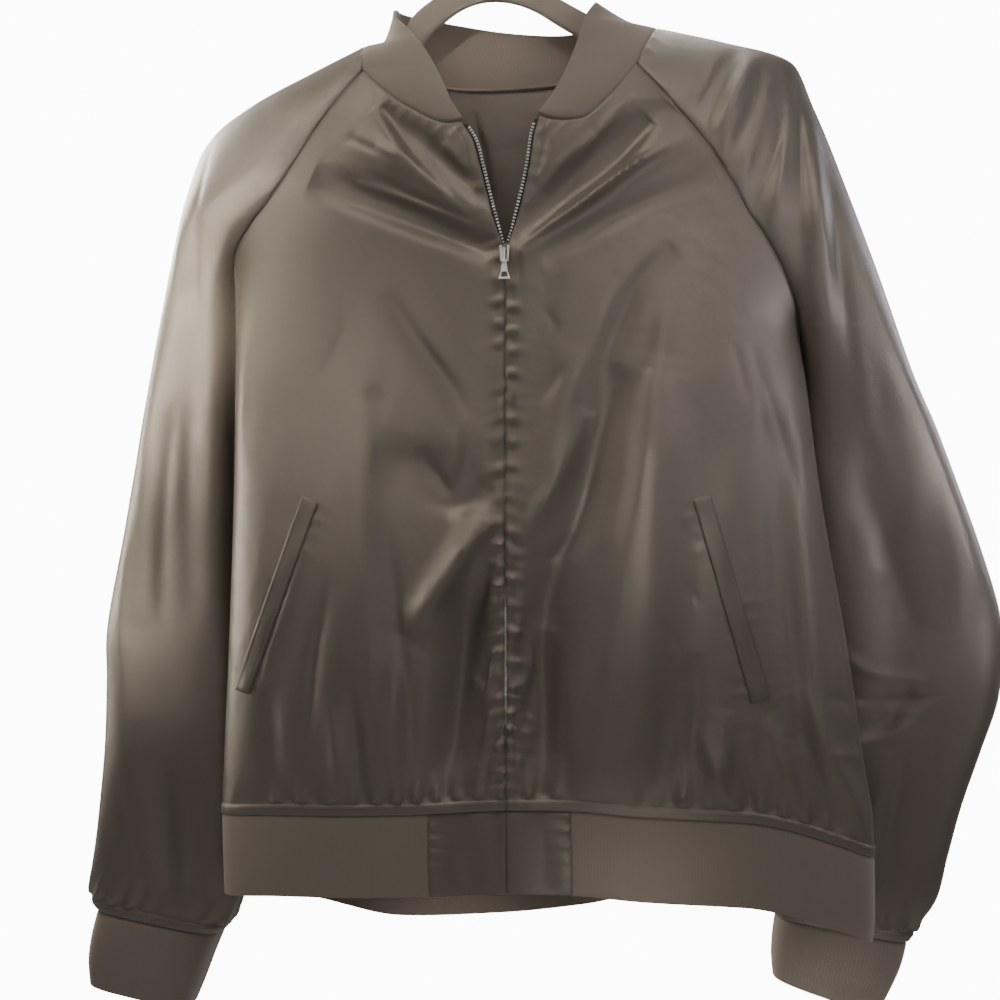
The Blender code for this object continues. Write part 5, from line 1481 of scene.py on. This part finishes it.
def pull():
    low, high = boxOf("zip_pull")
    middle, y, top = (low[0] + high[0]) / 2, (low[1] + high[1]) / 2, high[2] - 0.6
    half, hole, downs = pullParts["half"], pullParts["hole"], pullParts["down"]
    piece = added(bpy.ops.mesh.primitive_grid_add, x_subdivisions=3, y_subdivisions=5, size=1)
    spots = sorted(piece.data.vertices, key=lambda spot: (-round(spot.co.y, 4), round(spot.co.x, 4)))
    for number, spot in enumerate(spots):
        row, column = divmod(number, 4)
        wide = (-half[row], -hole[row], hole[row], half[row])[column]
        spot.co = Vector((middle + wide, y, top - downs[row])) * mm
    pick(piece)
    bpy.ops.object.mode_set(mode="EDIT")
    bpy.ops.mesh.select_all(action="DESELECT")
    bpy.ops.mesh.select_mode(type="FACE")
    bpy.ops.object.mode_set(mode="OBJECT")
    for face in piece.data.polygons:
        down = top - face.center.z / mm
        inside = abs(face.center.x / mm - middle) < 1
        for row in pullParts["open"]:
            if inside and downs[row] < down < downs[row + 1]:
                face.select = True
    bpy.ops.object.mode_set(mode="EDIT")
    bpy.ops.mesh.delete(type="FACE")
    bpy.ops.mesh.select_mode(type="VERT")
    bpy.ops.object.mode_set(mode="OBJECT")
    editing(piece, facingOut)
    modify(piece, "SOLIDIFY", thickness=pullParts["thick"] * mm, offset=0)
    modify(piece, "BEVEL", width=pullParts["bevel"] * mm, segments=2, limit_method="ANGLE",
           angle_limit=math.radians(40))
    piece.name = "zipPullTab"
    smooth(piece, 40)
    finished(piece, looks["slider"], ["zip_pull"], "zip_pull")


slider()
pull()
print("slider and pull made")


# the hanger and its hook
hanger = {
    "neck": [
        (-112, -130, 9.2), (-98, -124.5, 9), (-84, -116, 9), (-76, -105.5, 9.8),
        (-68, -94.5, 10.5), (-50, -81.5, 9.5), (-32, -75, 8.3), (-14, -73.5, 8), (5, -77, 8),
        (22, -84, 8.5), (42, -96.5, 9), (62, -108, 9.2), (85, -117, 9.2), (109, -124, 9.2)],
    "arm": {"right": (0.93, 0.85, 0.78, 0.71, 0.65, 0.625), "left": (0.93, 0.86, 0.80, 0.755)},
    "half": 9.0, "thick": 6.0, "under": 2.4, "tip": 4.0,
    "steps": 190, "round": 26,
}
hook = {
    "wire": 1.9, "radius": 17.0, "sweep": (205, -45), "steps": 60,
    "stem": [(-11.5, -37.5), (-16.5, -43.5), (-17.5, -51), (-15.8, -59), (-14.6, -65.1)],
    "ball": 1.25, "ring": 3.3, "ringHigh": 4.2, "ringBevel": 0.6,
}


def hangerLine():
    ends = []
    for side in ("right", "left"):
        line = []
        for share in hanger["arm"][side]:
            ridge, after = ridgeAt(side, np.array([share, share + 0.03]))
            run = after - ridge
            down = np.array([run[2], 0, -run[0]]) / math.hypot(run[0], run[2]) * np.sign(run[0])
            line.append((*(ridge + down * (hanger["under"] + hanger["half"])), hanger["half"]))
        tip, before = np.array(line[-1]), np.array(line[-2])
        away = (tip - before)[:3] / np.linalg.norm((tip - before)[:3])
        for reach, part in ((0.7, 0.75), (1.0, 0.35)):
            spot = tip[:3] + away * hanger["tip"] * reach
            line.append((spot[0], spot[1], spot[2] - tip[3] * (1 - part) * 0.5, tip[3] * part))
        ends.append(line)
    neck = [(x, 0, z, half) for x, z, half in hanger["neck"]]
    return np.array(ends[0][::-1] + neck + ends[1])


def hangerShape():
    line = pathAt(hangerLine(), np.linspace(0, 1, hanger["steps"]))
    run = np.gradient(line[:, :3], axis=0)
    up = np.stack([-run[:, 2], 0 * run[:, 0], run[:, 0]], axis=1)
    up /= np.linalg.norm(up, axis=1, keepdims=True)
    angle = np.linspace(0, 2 * math.pi, hanger["round"] + 1)
    flat = lambda part, power: np.sign(part) * np.abs(part) ** power
    high, deep = flat(np.cos(angle), 0.42), flat(np.sin(angle), 0.55)
    half = line[:, 3]
    close = np.ones(len(line))
    close[0] = close[-1] = 0.02
    rings = (line[:, None, :3] + up[:, None] * (high[None, :, None] * (half * close)[:, None, None]))
    rings[..., 1] += deep[None] * hanger["thick"] / 2 * close[:, None]
    piece = laidSheet("hangerShape", rings, 1, 0, True)
    editing(piece, (bpy.ops.mesh.remove_doubles, {"threshold": 0.0003}), facingOut)
    smooth(piece)
    finished(piece, looks["hanger"], ["hanger_body"])


def hookShape():
    radius = hook["radius"] + hook["wire"]
    start, end = hook["sweep"]
    turn = np.radians(np.linspace(start, end, hook["steps"]))
    arc = np.stack([hookX + radius * np.cos(turn), 0 * turn,
                    radius * np.sin(turn) - hook["radius"]], axis=1)
    stem = pathAt([arc[-1]] + [(x, 0, z) for x, z in hook["stem"]], np.linspace(0, 1, 30))[1:]
    line = toWorld(np.concatenate([arc, stem]))
    wire = added(bpy.ops.curve.primitive_bezier_curve_add)
    curve = wire.data
    curve.splines.clear()
    spline = curve.splines.new("POLY")
    spline.points.add(len(line) - 1)
    spline.points.foreach_set("co", np.column_stack([line, np.ones(len(line))]).ravel())
    curve.bevel_depth = hook["wire"] * mm
    curve.bevel_resolution = 5
    curve.use_fill_caps = True
    pick(wire)
    bpy.ops.object.convert(target="MESH")
    wire = bpy.context.object
    ball = added(bpy.ops.mesh.primitive_uv_sphere_add, segments=20, ring_count=12,
                 radius=hook["wire"] * mm * hook["ball"], location=line[0])
    ring = added(bpy.ops.mesh.primitive_cylinder_add, vertices=28, radius=hook["ring"] * mm,
                 depth=hook["ringHigh"] * mm, location=line[-1] + np.array([-0.2, 0, -0.5]) * mm)
    modify(ring, "BEVEL", width=hook["ringBevel"] * mm, segments=3, limit_method="ANGLE")
    for part in (ball, ring):
        pick(part)
        bpy.ops.object.transform_apply(location=True, rotation=True, scale=True)
    piece = joined("hookWire", [wire, ball, ring])
    editing(piece, (bpy.ops.mesh.remove_doubles, {"threshold": 0.00001}), facingOut)
    smooth(piece)
    finished(piece, looks["hook"], ["hanger_hook"])


hangerShape()
hookShape()
print("hanger made")


# topstitching
thread = {"pitch": 3.1, "long": 2.3, "thick": 0.42, "proud": 0.08}


def stitchMaster():
    piece = added(bpy.ops.mesh.primitive_uv_sphere_add, segments=6, ring_count=4, radius=0.5 * mm)
    size = (thread["thick"], thread["thick"], thread["long"])
    editing(piece, (bpy.ops.transform.resize, {"value": size}))
    return takeMesh(piece)


def stitches(name, lines, master):
    origins, alongs, outs = [], [], []
    for line, direction in lines:
        marks = marksAlong(line)
        at = np.arange(thread["pitch"] / 2, marks[-1], thread["pitch"])
        out = unit(readLine(at, marks, direction))
        origins.append(readLine(at, marks, line) + out * thread["proud"])
        alongs.append(unit(readLine(at + 1.0, marks, line) - readLine(at - 1.0, marks, line)))
        outs.append(out)
    origins, ahead, out = (np.concatenate(part) for part in (origins, alongs, outs))
    across = unit(np.cross(out, ahead))
    copied(name, master, origins, (across, np.cross(ahead, across), ahead), looks["thread"])


def seamLines():
    # which edge each row of stitches follows, and how far in from it
    bottom, beside = ("bottom", sewing["tuckStitch"]), sewing["raglanStitch"]
    raglans = {"frontRight": ["last"], "frontLeft": ["last"], "back": ["first", "last"]}
    upper = len(sideShares("right"))
    lines = {}
    for name in ("frontRight", "frontLeft", "back", "sleeveRight", "sleeveLeft"):
        points, direction = surfaces[name], normals[name]
        lines[name] = [offsetLine(points, direction, *bottom)]
        lines[name] += [offsetLine(points[upper:], direction[upper:], edge, beside)
                        for edge in raglans.get(name, [])]
        if name.startswith("front"):
            lines[name].insert(0, offsetLine(points[4:], direction[4:], "first", sewing["zipStitch"]))
    for side, (points, direction) in weltMade.items():
        lines["welt" + side.title()] = [offsetLine(points, direction, "first", 2.6),
                                        offsetLine(points, direction, "last", 2.4)]
    for side, (points, direction) in blockMade.items():
        edge = "first" if side == "Right" else "last"
        lines["hemBlock" + side] = [offsetLine(points, direction, edge, sewing["blockStitch"])]
    return lines


stitch = stitchMaster()
for name, lines in seamLines().items():
    stitches(name + "Thread", lines, stitch)
print("topstitching made")
# the studio
studio = {
    "floor": -1.8, "floorRadius": 2.3,
    "backdrop": 12.0, "domeRadius": 9.0,
    "world": (0.91, 0.93, 1.0), "worldStrength": 0.11,
    # place, aim, size, spread in degrees, power, colour
    "lamps": {
        "high": ((-0.5, -0.55, 0.75), (-0.2, 0, -0.2), 0.45, 180, 5.2, (1.0, 0.96, 0.89)),
        "shoulder": ((-0.75, -1.10, 0.05), (-0.25, 0, -0.18), 0.12, 14, 0.26, (1.0, 0.96, 0.90)),
        "leftUpper": ((-0.62, -1.25, -0.20), (-0.275, 0, -0.375), 0.12, 9.5, 0.15, (1.0, 0.96, 0.90)),
        "leftLower": ((-0.74, -1.18, -0.45), (-0.30, 0, -0.54), 0.12, 8, 0.040, (1.0, 0.96, 0.90)),
        "leftInner": ((0.05, -1.25, -0.2), (-0.215, 0, -0.33), 0.08, 5, 0.055, (1.0, 0.96, 0.90)),
        "leftChest": ((-0.62, -1.25, -0.15), (-0.09, 0, -0.40), 0.12, 14, 0.025, (1.0, 0.96, 0.90)),
        "leftSleeve": ((-0.85, -0.42, 0.1), (-0.28, 0, -0.25), 0.4, 90, 0.4, (1.0, 0.96, 0.90)),
        "leftBack": ((-1.0, 0.45, 0.1), (-0.28, 0, -0.25), 0.7, 180, 22, (1.0, 0.97, 0.92)),
        "leftEdge": ((-1.2, 0.0, -0.45), (-0.33, 0, -0.45), 0.4, 40, 0.5, (1.0, 0.96, 0.90)),
        "right": ((1.05, -0.70, 0.05), (0.20, 0, -0.36), 0.5, 180, 2.5, (0.95, 0.93, 1.0)),
        "rightLow": ((1.04, -0.69, -0.97), (0.34, 0, -0.42), 0.3, 22, 0.03, (0.88, 0.88, 1.0)),
        "rightSleeve": ((1.15, -0.75, -0.75), (0.285, 0.0, -0.34), 0.24, 8, 0.07, (0.86, 0.87, 1.0)),
        "rightEdge": ((1.25, -0.70, -0.25), (0.35, 0.02, -0.49), 0.22, 6, 0.045, (0.86, 0.87, 1.0)),
        "rightBack": ((1.05, 0.5, -0.1), (0.33, 0.02, -0.45), 0.7, 180, 6.0, (0.80, 0.82, 1.0)),
        "rightHigh": ((0.5, -0.6, 0.8), (0.15, 0, -0.25), 0.5, 180, 4.2, (0.99, 0.97, 0.97)),
        "front": ((0.15, -1.6, -0.3), (0, 0, -0.45), 0.6, 180, 1.9, (1.0, 0.98, 0.95)),
        "chest": ((0.30, -1.1, 0.10), (0.13, -0.05, -0.30), 0.1, 13, 0.011, (1.0, 0.98, 0.97)),
        "ridge": ((0.10, -1.2, -0.25), (0.12, -0.05, -0.48), 0.1, 9, 0.011, (1.0, 0.98, 0.96)),
        "collar": ((-0.02, -1.2, 0.12), (-0.005, 0.04, -0.085), 0.08, 8, 0.018, (1.0, 0.96, 0.91)),
        "backHem": ((-0.03, -1.3, -1.02), (-0.03, 0.03, -0.85), 0.04, 9, 0.03, (1.0, 0.94, 0.90)),
        "hem": ((0.16, -1.2, -0.98), (0.115, -0.05, -0.745), 0.06, 8, 0.009, (1.0, 0.96, 0.93)),
        "cuff": ((0.50, -1.2, -1.0), (0.235, 0.05, -0.84), 0.04, 8, 0.014, (1.0, 0.96, 0.95)),
        "back": ((0, 0.6, 0.7), (0, 0, -0.2), 0.6, 180, 8, (1.0, 0.98, 0.95)),
        "below": ((0, -0.1, -1.78), (0, 0, 0), 3.4, 180, 9.5, (1.0, 0.98, 0.97)),
    },
}


def lamp(name):
    place, aim, size, spread, power, colour = studio["lamps"][name]
    made = bpy.data.lights.new(name + "Light", "AREA")
    made.shape, made.size, made.spread = "DISK", size, math.radians(spread)
    made.energy, made.color = power, colour
    piece = linked(name + "Light", made)
    piece.location = place
    piece.rotation_euler = (Vector(aim) - Vector(place)).to_track_quat("-Z", "Y").to_euler()
    piece.visible_camera = False


def setting():
    floor = added(bpy.ops.mesh.primitive_circle_add, vertices=96, radius=studio["floorRadius"],
                  fill_type="NGON", location=(0, 0, studio["floor"]))
    floor.name = "floor"
    floor.data.materials.append(floorFinish())
    dome = added(bpy.ops.mesh.primitive_uv_sphere_add, segments=48, ring_count=24,
                 radius=studio["domeRadius"])
    dome.name = "backdrop"
    white = bpy.data.materials.new("whiteBackdrop")
    white.use_nodes = True
    shader = white.node_tree.nodes["Principled BSDF"]
    shader.inputs["Base Color"].default_value = (0, 0, 0, 1)
    shader.inputs["Emission Color"].default_value = (1, 1, 1, 1)
    shader.inputs["Emission Strength"].default_value = studio["backdrop"]
    dome.data.materials.append(white)
    for kind in ("diffuse", "glossy", "transmission", "volume_scatter", "shadow"):
        setattr(dome, "visible_" + kind, False)
        setattr(floor, "visible_" + kind, False)
    world = bpy.data.worlds.new("studio")
    world.use_nodes = True
    world.node_tree.nodes["Background"].inputs[0].default_value = (*studio["world"], 1)
    world.node_tree.nodes["Background"].inputs[1].default_value = studio["worldStrength"]
    bpy.context.scene.world = world
    for name in studio["lamps"]:
        lamp(name)


view = {"middle": (0.018, -0.060, -0.462), "away": 1.0, "turn": 8.0, "lens": 50.0}


def camera():
    made = bpy.data.cameras.new("view")
    made.lens, made.sensor_width = view["lens"], 36.0
    made.clip_start, made.clip_end = 0.05, 60.0
    piece = linked("view", made)
    turn = math.radians(view["turn"])
    back = Vector((math.sin(turn), -math.cos(turn), 0))
    piece.location = Vector(view["middle"]) + back * view["away"]
    piece.rotation_euler = (math.radians(90), 0, turn)
    bpy.context.scene.camera = piece


setting()
camera()
print("studio set")
